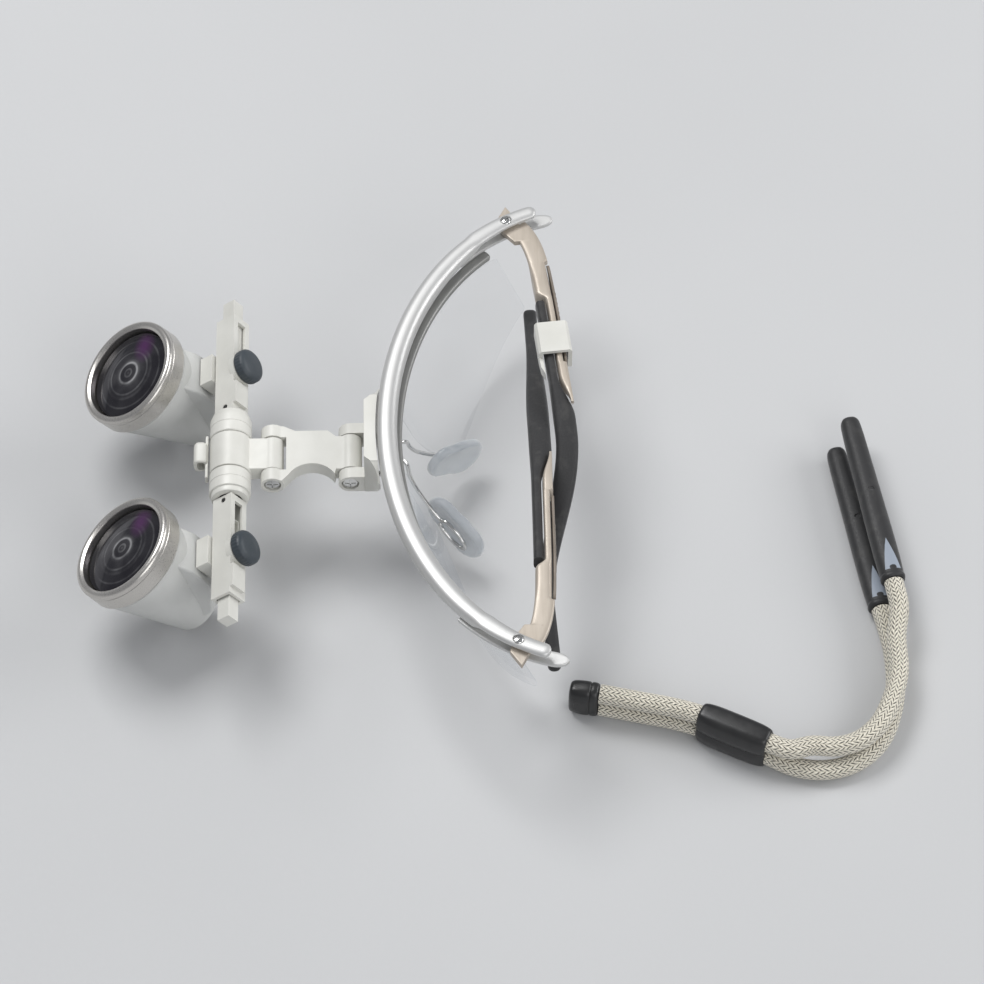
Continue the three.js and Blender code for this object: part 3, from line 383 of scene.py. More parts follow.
def turned(name, profile, place, sides, ripple=None):
    """A solid of revolution about local Y; the profile is (radius, y) pairs, closed if its ends meet.

    Its UVs are its local x and z in millimetres."""
    closed = profile[0] == profile[-1]
    local, rows = [], []
    for radius, y in profile[:-1] if closed else profile:
        count = sides if radius > AXIS_R else 1
        rows.append(range(len(local), len(local) + count))
        for i in range(count):
            t = i / sides * tau
            r = radius + (ripple(t, radius, y) if ripple else 0)
            local.append(Vector((r * cos(t), y, r * sin(t))))
    if closed:
        rows.append(rows[0])
    faces = []
    for one, two in zip(rows, rows[1:]):
        for i in range(sides):
            j = (i + 1) % sides
            corners = [one[i % len(one)], one[j % len(one)], two[j % len(two)], two[i % len(two)]]
            faces.append(list(dict.fromkeys(corners)))
    obj = link(name, [(place @ p) * MM for p in local], [face for face in faces if len(face) > 2])
    layer = obj.data.uv_layers.new(name="plan")
    for corner in obj.data.loops:
        layer.data[corner.index].uv = local[corner.vertex_index].xz
    return outward(obj)


def squircle(half_width, half_height, count, squareness=0.6):
    """A rounded rectangle as (across, up) pairs; a lower squareness has sharper corners."""
    turns = [(i + 0.5) / count * tau for i in range(count)]
    return [(half_width * bent(cos(t), squareness), half_height * bent(sin(t), squareness)) for t in turns]


def block(name, low, high, place, edge, segments=3):
    """A box with rounded edges."""
    corners = [(x, y, z) for x in (low[0], high[0]) for y in (low[1], high[1]) for z in (low[2], high[2])]
    faces = [(0, 1, 3, 2), (4, 6, 7, 5), (0, 4, 5, 1), (2, 3, 7, 6), (0, 2, 6, 4), (1, 5, 7, 3)]
    obj = outward(link(name, [(place @ Vector(c)) * MM for c in corners], faces))
    return rounded(obj, edge, segments, 30)


def evaluated(obj):
    """Applies the modifiers."""
    graph = bpy.context.evaluated_depsgraph_get()
    mesh = bpy.data.meshes.new_from_object(obj.evaluated_get(graph))
    obj.modifiers.clear()
    obj.data = mesh
    return obj


def rounded(obj, edge, segments, limit=40):
    """Rounds the edges that turn by more than limit degrees."""
    bevel = obj.modifiers.new("edges", "BEVEL")
    bevel.width = edge * MM
    bevel.segments = segments
    bevel.limit_method = "ANGLE"
    bevel.angle_limit = radians(limit)
    bevel.miter_outer = "MITER_ARC"
    return evaluated(obj)


def combine(obj, other, operation="DIFFERENCE"):
    """Adds or takes away another object, which is then gone."""
    step = obj.modifiers.new("boolean", "BOOLEAN")
    step.operation = operation
    step.solver = "EXACT"
    step.object = other
    evaluated(obj)
    bpy.data.objects.remove(other)
    return obj


def drill(obj, place, radius, low, high):
    """A round hole along local Z."""
    cutter = turned("hole", [(0, low), (radius, low), (radius, high), (0, high)], place @ UPRIGHT, 40)
    combine(obj, cutter)


def shaded(obj, limit):
    """Smooth shading, apart from edges that turn by more than limit degrees."""
    bm = bmesh.new()
    bm.from_mesh(obj.data)
    bmesh.ops.remove_doubles(bm, verts=bm.verts, dist=1e-7)
    for face in bm.faces:
        face.smooth = True
    for side in bm.edges:
        side.smooth = len(side.link_faces) == 2 and side.calc_face_angle(0) < radians(limit)
    bm.to_mesh(obj.data)
    bm.free()
    weighted = obj.modifiers.new("normals", "WEIGHTED_NORMAL")
    weighted.keep_sharp = True
    return evaluated(obj)


def refined(node, name, edge, segments=3):
    """Stands in for a CAD node with a copy that has its flat faces whole again and its edges rounded."""
    mesh = frame["nodes"][node].data.copy()
    bm = bmesh.new()
    bm.from_mesh(mesh)
    bmesh.ops.remove_doubles(bm, verts=bm.verts, dist=3e-6)
    bmesh.ops.dissolve_limit(bm, angle_limit=radians(1), verts=bm.verts, edges=bm.edges)
    bm.to_mesh(mesh)
    bm.free()
    finished(rounded(new_object(name, mesh), edge, segments), node)


NODE_BODY = {n: b for b, names in frame["record"]["behaviour"]["bodies"].items() for n in names}
NODE_SLOT = {s["node"]: s["material_slot"] for s in frame["record"]["subparts"]}
FINISHES = {}


def finished(obj, node, finish=None, limit=35):
    """Shades a piece, paints it, and puts it on its CAD node's body in that node's place."""
    shaded(obj, limit)
    slot = NODE_SLOT[node]
    obj.data.materials.clear()
    obj.data.materials.append(FINISHES[finish or slot])
    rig.ride(obj, NODE_BODY[node])
    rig.replaces(obj, node)
    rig.slot(obj, slot)
    return obj


def catmull(points, t):
    """A point on the centripetal curve that the CAD uses, at t from 0 to 1."""
    last = len(points) - 1
    place = t * last
    i = min(int(place), last - 1)
    w = place - i
    p1, p2 = points[i], points[i + 1]
    p0 = points[i - 1] if i > 0 else p1 * 2 - p2
    p3 = points[i + 2] if i + 2 <= last else p2 * 2 - p1
    d0, d1, d2 = (max(sqrt((b - a).length), 1e-4) for a, b in ((p0, p1), (p1, p2), (p2, p3)))
    t1 = ((p1 - p0) / d0 - (p2 - p0) / (d0 + d1) + (p2 - p1) / d1) * d1
    t2 = ((p2 - p1) / d1 - (p3 - p1) / (d1 + d2) + (p3 - p2) / d2) * d1
    return (
        p1 * (2 * w**3 - 3 * w**2 + 1)
        + t1 * (w**3 - 2 * w**2 + w)
        + p2 * (3 * w**2 - 2 * w**3)
        + t2 * (w**3 - w**2)
    )


def smooth_path(route, spacing):
    """Points in millimetres at even steps along a route's curve."""
    route = [Vector(p) for p in route]
    dense = [catmull(route, t) for t in even(0, 1, 1 / 2000)]
    run = np.concatenate([[0], np.cumsum([(b - a).length for a, b in zip(dense, dense[1:])])])
    steps = max(8, round(run[-1] / spacing))
    wanted = np.linspace(0, run[-1], steps + 1)
    axes = [np.interp(wanted, run, [p[k] for p in dense]) for k in range(3)]
    return [Vector(p) for p in zip(*axes)]


def tube(name, path, radius, sides, place=FRAME_PLACE):
    """A round tube along a path, with UVs: u round it in turns, v along it in millimetres."""
    side = Vector((0, 0, 1)) if abs((path[1] - path[0]).normalized().z) < 0.9 else Vector((1, 0, 0))
    rings, run = [], [0.0]
    last = len(path) - 1
    turns = [k / sides * tau for k in range(sides)]
    for i, p in enumerate(path):
        ahead = (path[min(i + 1, last)] - path[max(i - 1, 0)]).normalized()
        side = (side - ahead * side.dot(ahead)).normalized()
        other = ahead.cross(side)
        thick = radius(i / last) if callable(radius) else radius
        rings.append([p + (side * cos(t) + other * sin(t)) * thick for t in turns])
        if i:
            run.append(run[-1] + (p - path[i - 1]).length)
    obj = loft(name, rings, place)
    unwrap(obj, sides, run)
    return obj


def unwrap(obj, count, run):
    """UVs for a loft: u round its rings in turns, v the distance along it."""
    layer = obj.data.uv_layers.new(name="weave")
    for polygon in obj.data.polygons:
        corners = [obj.data.loops[i].vertex_index for i in polygon.loop_indices]
        wraps = {c % count for c in corners} == {0, count - 1}
        for loop, corner in zip(polygon.loop_indices, corners):
            u = corner % count
            if wraps and u == 0:
                u = count
            layer.data[loop].uv = (u / count, run[corner // count])


# ---- material helpers


class Recipe:
    """A material's node tree, with short ways to add to it."""

    def __init__(self, name):
        self.material = bpy.data.materials.new(name)
        self.material.use_nodes = True
        self.tree = self.material.node_tree
        self.shader = self.tree.nodes["Principled BSDF"]
        FINISHES[name] = self.material

    def add(self, kind, inputs=None, **settings):
        made = self.tree.nodes.new(kind)
        for key, value in settings.items():
            setattr(made, key, value)
        for key, value in (inputs or {}).items():
            self.feed(made.inputs[key], value)
        return made

    def feed(self, socket, value):
        if isinstance(value, bpy.types.NodeSocket):
            self.tree.links.new(value, socket)
        elif socket.type == "RGBA" and len(value) == 3:
            socket.default_value = (*value, 1)
        else:
            socket.default_value = value

    def set(self, **values):
        names = {"color": "Base Color", "sheen": "Sheen Weight", "coat": "Coat Weight", "ior": "IOR"}
        for key, value in values.items():
            self.feed(self.shader.inputs[names.get(key, key.replace("_", " ").title())], value)

    def where(self, output="Object"):
        return self.add("ShaderNodeTexCoord").outputs[output]

    def noise(self, scale, detail, stretch=(1, 1, 1)):
        mapped = self.add("ShaderNodeMapping", {"Vector": self.where(), "Scale": stretch}).outputs[0]
        inputs = {"Vector": mapped, "Scale": scale, "Detail": detail}
        return self.add("ShaderNodeTexNoise", inputs).outputs[0]

    def math(self, operation, a, b=0.0):
        return self.add("ShaderNodeMath", {0: a, 1: b}, operation=operation).outputs[0]

    def span(self, value, low, high, start, end):
        """The value from start..end brought to low..high and held there."""
        made = self.add(
            "ShaderNodeMapRange",
            {"Value": value, "From Min": start, "From Max": end, "To Min": low, "To Max": high},
        )
        return made.outputs[0]

    def spread(self, noise, low, high):
        """A noise, which seldom leaves 0.3 to 0.7, brought to low..high."""
        return self.span(noise, low, high, 0.3, 0.7)

    def slant(self, blend):
        """How far a face is turned away from the eye."""
        return self.add("ShaderNodeLayerWeight", {"Blend": blend}).outputs["Facing"]

    def uv(self):
        return self.add("ShaderNodeSeparateXYZ", {"Vector": self.where("UV")}).outputs[:2]

    def times(self, a, b):
        return self.math("MULTIPLY", a, b)

    def plus(self, a, b):
        return self.math("ADD", a, b)

    def from_point(self, u, v, stretch=(1, 1)):
        """How far the UV place is from a point, with each axis scaled first."""
        start = (-u * stretch[0], -v * stretch[1], 0)
        mapped = self.add(
            "ShaderNodeMapping", {"Vector": self.where("UV"), "Location": start, "Scale": (*stretch, 0)}
        )
        return self.add("ShaderNodeVectorMath", {0: mapped.outputs[0]}, operation="LENGTH").outputs["Value"]

    def rings(self, distance, reach, stops):
        """A tone that changes with distance; the stops are (share of the reach, tone), from 0 to 1."""
        ramp = self.add("ShaderNodeValToRGB", {"Fac": self.math("DIVIDE", distance, reach)})
        stripes = ramp.color_ramp.elements
        for place, _ in stops[1:-1]:
            stripes.new(place)
        for stripe, (_, tone) in zip(stripes, stops):
            stripe.color = (tone, tone, tone, 1)
        return ramp.outputs[0]

    def mix(self, share, one, two):
        # sockets 6 and 7 are the colours A and B, and 2 is the mixed colour
        return self.add("ShaderNodeMix", {0: share, 6: one, 7: two}, data_type="RGBA").outputs[2]

    def bump(self, height, depth, strength, after=None):
        inputs = {"Height": height, "Distance": depth * MM, "Strength": strength}
        if after is not None:
            inputs["Normal"] = after
        return self.add("ShaderNodeBump", inputs).outputs[0]


def moulded(name, color, shade, roughness, grain=0.012, pore=3200):
    """Moulded plastic: a fine spark-eroded grain, faint flow marks and a slightly uneven sheen."""
    mat = Recipe(name)
    cloud = mat.noise(90, 4)
    fine = mat.noise(pore, 2)
    rub = mat.noise(420, 5)
    mat.set(
        color=mat.mix(mat.span(cloud, 0, 1, 0.35, 0.68), color, shade),
        roughness=mat.spread(rub, roughness - 0.07, roughness + 0.08),
        normal=mat.bump(fine, grain, 0.7, mat.bump(cloud, 0.03, 0.35)),
        coat=0.12,
        coat_roughness=0.32,
    )


def brushed(name, color, shade, roughness, metallic, scale, depth, stretch=(1, 1, 1)):
    """Metal, or paint like it: fine grain over a soft cloudy tone, drawn into lines by the stretch."""
    mat = Recipe(name)
    lines = mat.noise(scale, 4, stretch)
    cloud = mat.noise(130, 3)
    flake = mat.noise(5200, 1)
    tone = mat.plus(mat.times(lines, 0.6), mat.times(cloud, 0.4))
    mat.set(
        color=mat.mix(mat.span(tone, 0, 1, 0.36, 0.64), color, shade),
        metallic=metallic,
        roughness=mat.spread(lines, roughness - 0.05, roughness + 0.07),
        normal=mat.bump(flake, depth * 0.6, 0.5, mat.bump(lines, depth, 0.5)),
    )


def make_finishes():
    moulded("white_polymer", (0.70, 0.695, 0.65), (0.63, 0.625, 0.58), 0.40)
    moulded("grey_polymer", (0.58, 0.585, 0.57), (0.53, 0.535, 0.52), 0.42)
    moulded("slate_knob", (0.030, 0.040, 0.050), (0.045, 0.056, 0.066), 0.50, grain=0.02, pore=2200)
    moulded("black_part", (0.012, 0.012, 0.013), (0.022, 0.022, 0.022), 0.34)
    brushed("satin_metal", (0.63, 0.63, 0.62), (0.60, 0.60, 0.59), 0.42, 0.6, 3500, 0.0008)
    brushed("dark_satin", (0.32, 0.32, 0.31), (0.29, 0.29, 0.28), 0.44, 0.6, 3500, 0.0008)
    brushed("turned_metal", (0.60, 0.58, 0.55), (0.58, 0.56, 0.53), 0.30, 0.95, 4000, 0.0008)
    brushed("chrome", (0.76, 0.76, 0.75), (0.66, 0.66, 0.65), 0.13, 1.0, 1500, 0.003)
    brushed("taupe", (0.53, 0.47, 0.40), (0.44, 0.385, 0.32), 0.36, 0.25, 1100, 0.01, (0.08, 1, 1))
    brushed("taupe_inlay", (0.235, 0.20, 0.165), (0.165, 0.138, 0.11), 0.5, 0, 1400, 0.014, (0.12, 1, 1))
    rubber_finish()
    lens_finish()
    silicone_finish()
    coated_finish()
    braid_finish()
    sleeve_finish()


def rubber_finish():
    """Soft black rubber: matt, with faint dust and a sheen."""
    mat = Recipe("soft_rubber")
    fine = mat.noise(2600, 3)
    dust = mat.noise(260, 6)
    mat.set(
        color=mat.mix(mat.span(dust, 0, 1, 0.52, 0.78), (0.020, 0.020, 0.021), (0.050, 0.049, 0.047)),
        roughness=mat.spread(fine, 0.58, 0.74),
        normal=mat.bump(fine, 0.016, 0.7),
        sheen=0.25,
        sheen_roughness=0.4,
    )


def lens_finish():
    """Hard-coated clear lens: nearly nothing seen head on, and a painted bluish sheen at a slant."""
    mat = Recipe("clear_lens")
    slant = mat.slant(0.35)
    smear = mat.noise(70, 4)
    mat.set(
        # painted reflection: the colour turns a lighter blue where the face turns away from the eye
        color=mat.mix(mat.span(slant, 0, 1, 0.2, 0.9), (0.30, 0.35, 0.40), (0.62, 0.69, 0.77)),
        roughness=mat.span(smear, 0.02, 0.07, 0.4, 0.75),
        alpha=mat.span(slant, 0.03, 0.55, 0.5, 1.0),
        coat=0.6,
        ior=1.59,
        coat_roughness=0.03,
    )


def silicone_finish():
    """Soft translucent pad, its rim painted brighter as a sheen."""
    mat = Recipe("silicone")
    slant = mat.slant(0.4)
    fine = mat.noise(1500, 3)
    mat.set(
        # painted sheen: the colour turns near-white where the face turns away from the eye
        color=mat.mix(mat.span(slant, 0, 1, 0.3, 0.95), (0.52, 0.56, 0.60), (0.92, 0.93, 0.92)),
        roughness=mat.spread(fine, 0.08, 0.14),
        alpha=mat.span(slant, 0.42, 0.9, 0.3, 0.95),
        normal=mat.bump(fine, 0.001, 0.3),
        ior=1.43,
    )


# painted light rings: (share of the glass radius, tone) for the glints off the lens edges behind the glass
PAINTED_RING_STOPS = [
    (0.0, 0.10), (0.05, 0.03), (0.095, 0.16), (0.125, 0.03), (0.205, 0.035), (0.245, 0.42), (0.285, 0.10),
    (0.34, 0.045), (0.47, 0.03), (0.505, 0.15), (0.54, 0.03), (0.60, 0.07), (0.64, 0.02), (0.77, 0.02),
    (0.80, 0.09), (0.83, 0.015), (1.0, 0.012),
]


def coated_finish():
    """Optical glass painted near-black as shade, the lens edges behind it as painted light rings, and a painted violet
    reflection.
    """
    mat = Recipe("coated_glass")
    bloom = mat.noise(170, 3)
    # painted reflections: lighter rings, made uneven by the bloom noise, for light caught by the lens edges behind the
    # glass
    rings = mat.rings(mat.from_point(0, 0), GLASS_R, PAINTED_RING_STOPS)
    painted_ring_light = mat.times(rings, mat.span(bloom, 0.35, 1.5, 0.38, 0.66))
    # painted shade: the near-black, nearly opaque glass stands for the shaded inside of the telescope
    dark = mat.mix(painted_ring_light, (0.007, 0.007, 0.010), (0.62, 0.62, 0.63))
    # painted reflection: a violet glint off the coating, off to one side of the middle of the glass
    painted_violet_reflection = mat.span(mat.from_point(-6.6, 5.2, (0.8, 1.25)), 0.75, 0, 0.8, 4.6)
    slant = mat.slant(0.3)
    mat.set(
        color=mat.mix(painted_violet_reflection, dark, (0.085, 0.022, 0.100)),
        roughness=mat.spread(bloom, 0.03, 0.07),
        alpha=mat.span(slant, 0.92, 1.0, 0.0, 0.6),
        coat=0.3,
        ior=1.34,
        coat_roughness=0.02,
        specular_tint=(0.92, 0.82, 1.0),
    )


BRAID_COLUMNS = 18  # of yarn crossings round the cord
BRAID_PITCH = 1.4
BRAID_SLANT = 0.9  # how far a yarn runs on across its column, in pitches


def braid_finish():
    """A tubular braid: yarns cross in columns that slant in turn to the left and to the right.

    Cream yarns show as short raised strokes and the black yarns between them as flecks."""
    mat = Recipe("braid")
    turn, run = mat.uv()
    waver = mat.spread(mat.noise(500, 2), -0.16, 0.16)
    around = mat.plus(mat.times(turn, BRAID_COLUMNS), mat.times(waver, 0.5))
    odd = mat.math("MODULO", mat.math("FLOOR", around), 2)
    across = mat.math("FRACT", around)
    lean = mat.times(mat.math("SUBTRACT", across, 0.5), BRAID_SLANT)
    signed = mat.times(lean, mat.math("SUBTRACT", 1, mat.times(odd, 2)))
    along = mat.plus(mat.times(run, 1 / BRAID_PITCH), mat.times(odd, 0.5))
    turns = mat.plus(mat.plus(along, signed), waver)
    stroke = mat.math("COSINE", mat.times(turns, tau))
    crown = mat.math("SINE", mat.times(across, pi))
    fibre = mat.noise(5200, 3)
    frayed = mat.plus(stroke, mat.spread(fibre, -0.2, 0.2))
    fleck = mat.span(mat.math("SUBTRACT", frayed, mat.times(crown, 0.5)), 1, 0, -1.22, -0.94)
    cream = mat.mix(mat.span(fibre, 0, 1, 0.3, 0.72), (0.94, 0.90, 0.79), (0.80, 0.75, 0.62))
    # painted shade: the cream is darkened down the flanks of each stroke and along the seams between columns
    painted_flank_shade = mat.times(mat.span(stroke, 1, 0, -0.6, 0.1), 0.55)
    edge = mat.math("MAXIMUM", painted_flank_shade, mat.span(crown, 0.5, 0, 0.05, 0.4))
    shaded_cream = mat.mix(edge, cream, (0.40, 0.355, 0.26))
    ridge = mat.times(mat.plus(stroke, 1), crown)
    height = mat.plus(ridge, mat.times(fibre, 0.35))
    mat.set(
        color=mat.mix(fleck, shaded_cream, (0.016, 0.015, 0.014)),
        roughness=mat.spread(fibre, 0.72, 0.92),
        normal=mat.bump(height, 0.16, 0.9),
        sheen=0.35,
        sheen_roughness=0.5,
    )


MARK_START = 2.6  # the sleeve's grey pointer, from its mouth
MARK_END = 12.5
MARK_WIDTH = 0.105  # of a turn, each way
SLEEVE_ROUND = 19.5  # round the sleeve, in millimetres
DIMPLE = 29  # from the mouth


def sleeve_finish():
    """The cord sleeve's rubber, with a grey pointer printed from its mouth and a small dimple half way."""
    mat = Recipe("sleeve_rubber")
    turn, run = mat.uv()
    fine = mat.noise(2600, 3)
    dust = mat.noise(240, 6)
    aside = mat.math("ABSOLUTE", mat.math("SUBTRACT", turn, 0.25))
    room = mat.span(run, MARK_WIDTH, 0, MARK_START, MARK_END)
    inside = mat.math("LESS_THAN", aside, room)
    past = mat.math("GREATER_THAN", run, MARK_START)
    notch = mat.from_point(0.25, MARK_START + 0.4, (SLEEVE_ROUND, 1))
    clear_of_notch = mat.math("GREATER_THAN", notch, 0.75)
    mark = mat.times(mat.times(inside, past), clear_of_notch)
    dimple = mat.span(mat.from_point(0.25, DIMPLE, (SLEEVE_ROUND, 1)), 0, 1, 0.35, 0.75)
    black = mat.mix(mat.span(dust, 0, 1, 0.52, 0.8), (0.019, 0.019, 0.020), (0.046, 0.045, 0.043))
    mat.set(
        color=mat.mix(mark, black, (0.29, 0.33, 0.39)),
        roughness=mat.spread(fine, 0.46, 0.62),
        normal=mat.bump(fine, 0.016, 0.7, mat.bump(dimple, 0.5, 1.0)),
        sheen=0.2,
        sheen_roughness=0.4,
    )


make_finishes()

# ---- retaining cord


def level_loft(name, start, heading, stations, count, squareness=0.8, section=None):
    """Rings along a level line; each station is (distance, half width, half height)."""
    along = Vector((cos(heading), sin(heading), 0))
    aside = Vector((-along.y, along.x, 0))
    make = section or (lambda half, high: squircle(half, high, count, squareness))
    rings = []
    for distance, half, high in stations:
        middle = start + along * distance
        rings.append([middle + aside * across + Vector((0, 0, up)) for across, up in make(half, high)])
    obj = loft(name, rings)
    unwrap(obj, count, [s[0] for s in stations])
    return obj


def eased(stations, steps):
    """More stations between the given ones, on a smooth curve through them."""
    points = [Vector(s) for s in stations]
    return [tuple(catmull(points, t)) for t in even(0, 1, 1 / steps)]


def cord_strand(name, route, node):
    path = smooth_path(route, 0.55)
    obj = tube(name, path, CORD / 2, 28)
    finished(obj, node, limit=80)
    length = sum((b - a).length for a, b in zip(path, path[1:]))
    places = [tuple((FRAME_PLACE @ p) * MM) for p in path]
    return obj, length, places


def cord_slider():
    """The two-channel slider: a waisted shell with a parting groove between its channels."""
    run = SLIDER_BACK - SLIDER_FRONT
    length = run.length
    count = 56

    def section(half, high):
        ring = []
        for i in range(count):
            t = i / count * tau
            up = (CHANNEL_RISE + high) * bent(sin(t), 0.8)
            waist = 1 - 0.16 * exp(-((up / 0.9) ** 2))
            ring.append((half * waist * bent(cos(t), 0.55), up))
        return ring

    mouth = [(0, 3.05, 2.9), (0.5, 3.45, 3.25), (2.5, 3.95, 3.42)]
    far = [(length - distance, half, high) for distance, half, high in reversed(mouth)]
    stations = eased(mouth + [(length / 2, 4.15, 3.5)] + far, 30)
    heading = atan2(run.y, run.x)
    obj = level_loft("cord_slider_shell", SLIDER_FRONT, heading, stations, count, section=section)
    for route in (LOWER_ROUTE, UPPER_ROUTE):
        combine(obj, tube("channel", smooth_path(route[2:9], 1.0), CORD / 2 + CHANNEL_PLAY, 28))
    return finished(obj, "cord_slider")


def cord_ferrule():
    front = Vector((60.5, 13.6, 5.5))
    back = Vector((*LOWER_ROUTE[0][:2], front.z))
    length = (back - front).length - GAP
    stations = eased([(0, 1.6, 3.6), (0.35, 2.5, 4.7), (1.2, 3.0, 5.1), (length - 2.4, 3.15, 5.35),
                      (length - 2.1, 2.95, 5.15), (length - 1.8, 3.15, 5.35), (length - 0.5, 3.1, 5.3),
                      (length, 2.8, 5.0)], 40)
    heading = atan2(back.y - front.y, back.x - front.x)
    obj = level_loft("cord_end_cap", front, heading, stations, 40, 0.7)
    return finished(obj, "cord_end_ferrule")


def cord_sleeve(name, node, route, heading, length):
    """A soft sleeve: a rolled lip at the mouth, a long taper and an open far end."""
    mouth = Vector(route[-1])
    half, high = SLEEVE_WIDTH / 2, SLEEVE_HEIGHT / 2
    shares = [
        (GAP, 0.80, 0.88), (0.7, 0.94, 0.98), (1.3, 0.985, 1), (1.9, 0.93, 0.96), (2.6, 0.94, 0.965),
        (6, 0.98, 0.98), (16, 0.985, 0.97), (26, 0.94, 0.96), (length - 12, 0.87, 0.9),
        (length - 4, 0.82, 0.86), (length - 0.8, 0.74, 0.8), (length, 0.62, 0.68),
    ]
    stations = eased([(s, half * wide, high * tall) for s, wide, tall in shares], 90)
    obj = level_loft(name, mouth, heading, stations, 40, 0.85)
    hollow = level_loft("hollow", mouth, heading, [(length - 28, 1.4, 1.1), (length + 1, 1.6, 1.5)], 20)
    return finished(combine(obj, hollow), node, "sleeve_rubber")


LOWER_HEADING = -2.981
UPPER_HEADING = -2.993

lower, lower_length, lower_path = cord_strand("cord_braid_lower", LOWER_ROUTE, "cord_lower")
upper, upper_length, upper_path = cord_strand("cord_braid_upper", UPPER_ROUTE, "cord_upper")
slider_shell = cord_slider()
ferrule = cord_ferrule()
sleeve_lower = cord_sleeve("cord_grip_lower", "cord_sleeve_lower", LOWER_ROUTE, LOWER_HEADING, 53)
sleeve_upper = cord_sleeve("cord_grip_upper", "cord_sleeve_upper", UPPER_ROUTE, UPPER_HEADING, 54)
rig.cord(lower, exit=lower_path[0], length=round(lower_length * MM, 4), diameter=CORD * MM,
        far_end="fitting", stiffness="limp", lay="loose", path=lower_path,
        with_pieces=[ferrule, slider_shell, sleeve_lower])
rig.cord(upper, exit=upper_path[0], length=round(upper_length * MM, 4), diameter=CORD * MM,
        far_end="fitting", stiffness="limp", lay="loose", path=upper_path, with_pieces=[sleeve_upper])

# ---- spectacle frame


def brow_point(angle, inset):
    inward = Vector((-BROW_B * sin(angle), BROW_A * cos(angle))).normalized()
    x = BROW_A * sin(angle) + inward.x * inset
    y = BROW_Y - BROW_B * cos(angle) + inward.y * inset
    return x, y, inward


def brow_ring(angle, inset, middle_z, section):
    x, y, inward = brow_point(angle, inset)
    return [(x + inward.x * across, y + inward.y * across, middle_z + up) for across, up in section]


def bar_height(angle):
    bend = abs(angle)
    full = 5 - 0.9 * smoothstep(bend, 0.6, 0.95)
    return lerp(full, TINE, smoothstep(bend, THROAT_ANGLE - 0.05, THROAT_ANGLE))


def end_cap(t, share):
    """How full a section is near either end of a run, so that the ends are round."""
    return round_off(1 - min(t, 1 - t) / share, 0.05)


def round_rod(name, steps, ring, ends):
    """A rod with rounded ends: ring(t, fullness) gives the section at t from 0 to 1."""
    near = [ends * (1 - cos(k / 8 * pi / 2)) for k in range(9)]
    places = [i / steps for i in range(steps + 1)] + near + [1 - t for t in near]
    return loft(name, [ring(t, end_cap(t, ends)) for t in sorted({round(t, 6) for t in places})])


def brow_bar():
    def ring(t, full):
        angle = lerp(-BAR_TIP_ANGLE, BAR_TIP_ANGLE, t)
        height = bar_height(angle)
        width = 5.4 - 1.4 * smoothstep(abs(angle), 0.7, BAR_TIP_ANGLE)
        section = squircle(width / 2 * full, height / 2 * lerp(0.55, 1, full), 40, 0.86)
        return brow_ring(angle, 0, BAR_TOP - height / 2, section)

    obj = round_rod("brow_bar_shell", 220, ring, 0.012)
    for side in (-1, 1):
        seat = frame_at(side * HINGE_X, 0, 0)
        sink = offset([(0, -0.9), (1.45, -0.9), (1.45, -0.25), (1.9, 0.3), (0, 0.3)], 0, BAR_TOP)
        combine(obj, turned("sink", sink, seat @ UPRIGHT, 40))
        drill(obj, seat, SCREW_HOLE_R, BAR_TOP - 4, BAR_TOP)
    finished(obj, "brow_bar")


def under_rail():
    reach = radians(60)

    def ring(t, full):
        angle = lerp(-reach, reach, t)
        return brow_ring(angle, RAIL_INSET, UNDER_RAIL_Z, squircle(1.5 * full, 1.05 * full, 20, 0.62))

    finished(round_rod("under_rail_shell", 150, ring, 0.008), "under_rail")


def fork_lug(side):
    start, end = radians(-51), radians(-82)
    rings = []
    for t in even(0, 1, 1 / 70):
        section = squircle(2.1 * round_off((t - 0.86) / 0.14, 0.0632), LUG_HALF, 20, 0.35)
        rings.append(brow_ring(lerp(start, end, t), lerp(-0.6, 0.9, t), LUG_TOP - LUG_HALF, section))
    place = frame_place(side)
    obj = loft(f"fork_lug_shell_{side}", rings, place)
    drill(obj, place @ Matrix.Translation((-HINGE_X, 0, 0)), SCREW_HOLE_R, LUG_TOP - 3, LUG_TOP + 1)
    finished(obj, f"fork_lug_{side}")


THREAD_PITCH = 0.5
SLOT_DEPTH = 0.45
SLOT_HALF = 0.17
CROSS_HALF = 0.22


def screw(name, node, place, shank, head_r, head_low, head_high, dome=0.25, cross=False):
    """A screw along local Y, its shank given as (low, high, radius), with a slot or a cross in its head."""
    low, high, shank_r = shank
    start = low + 0.3
    profile = [(0, low), (shank_r * 0.7, low), (shank_r, start)]
    turns = int((high - low) / THREAD_PITCH)
    for i in range(1, turns):
        y = lerp(start, high, i / turns)
        profile += [(shank_r, y - 0.12), (shank_r * 0.86, y), (shank_r, y + 0.12)]
    profile += [(shank_r, head_low), (head_r - 0.1, head_low), (head_r, head_low + 0.12),
                (head_r, head_high - 0.3)]
    rim, shoulder = head_r - 0.15, head_high - 0.1
    for k in range(7):
        r = rim * (1 - k / 6)
        profile.append((r, shoulder + dome * (1 - (r / rim) ** 2)))
    obj = turned(name, profile, place, 40)
    wide = head_r * 0.72
    for x, z in [(wide, CROSS_HALF), (CROSS_HALF, wide)] if cross else [(wide, SLOT_HALF)]:
        combine(obj, block("cut", (-x, head_high - SLOT_DEPTH, -z), (x, head_high + 1, z), place, 0.02, 1))
    finished(obj, node)


def hinge_screws():
    for word, side in SIDES.items():
        place = frame_at(side * HINGE_X, 0, 0) @ UPRIGHT @ Matrix.Rotation(0.7 * side, 4, "Y")
        screw(f"hinge_screw_head_{word}", f"hinge_screw_{word}", place,
              (LUG_TOP - 1.6, BAR_TOP - 0.7, 0.8), 1.3, BAR_TOP - 0.75, BAR_TOP - 0.1)


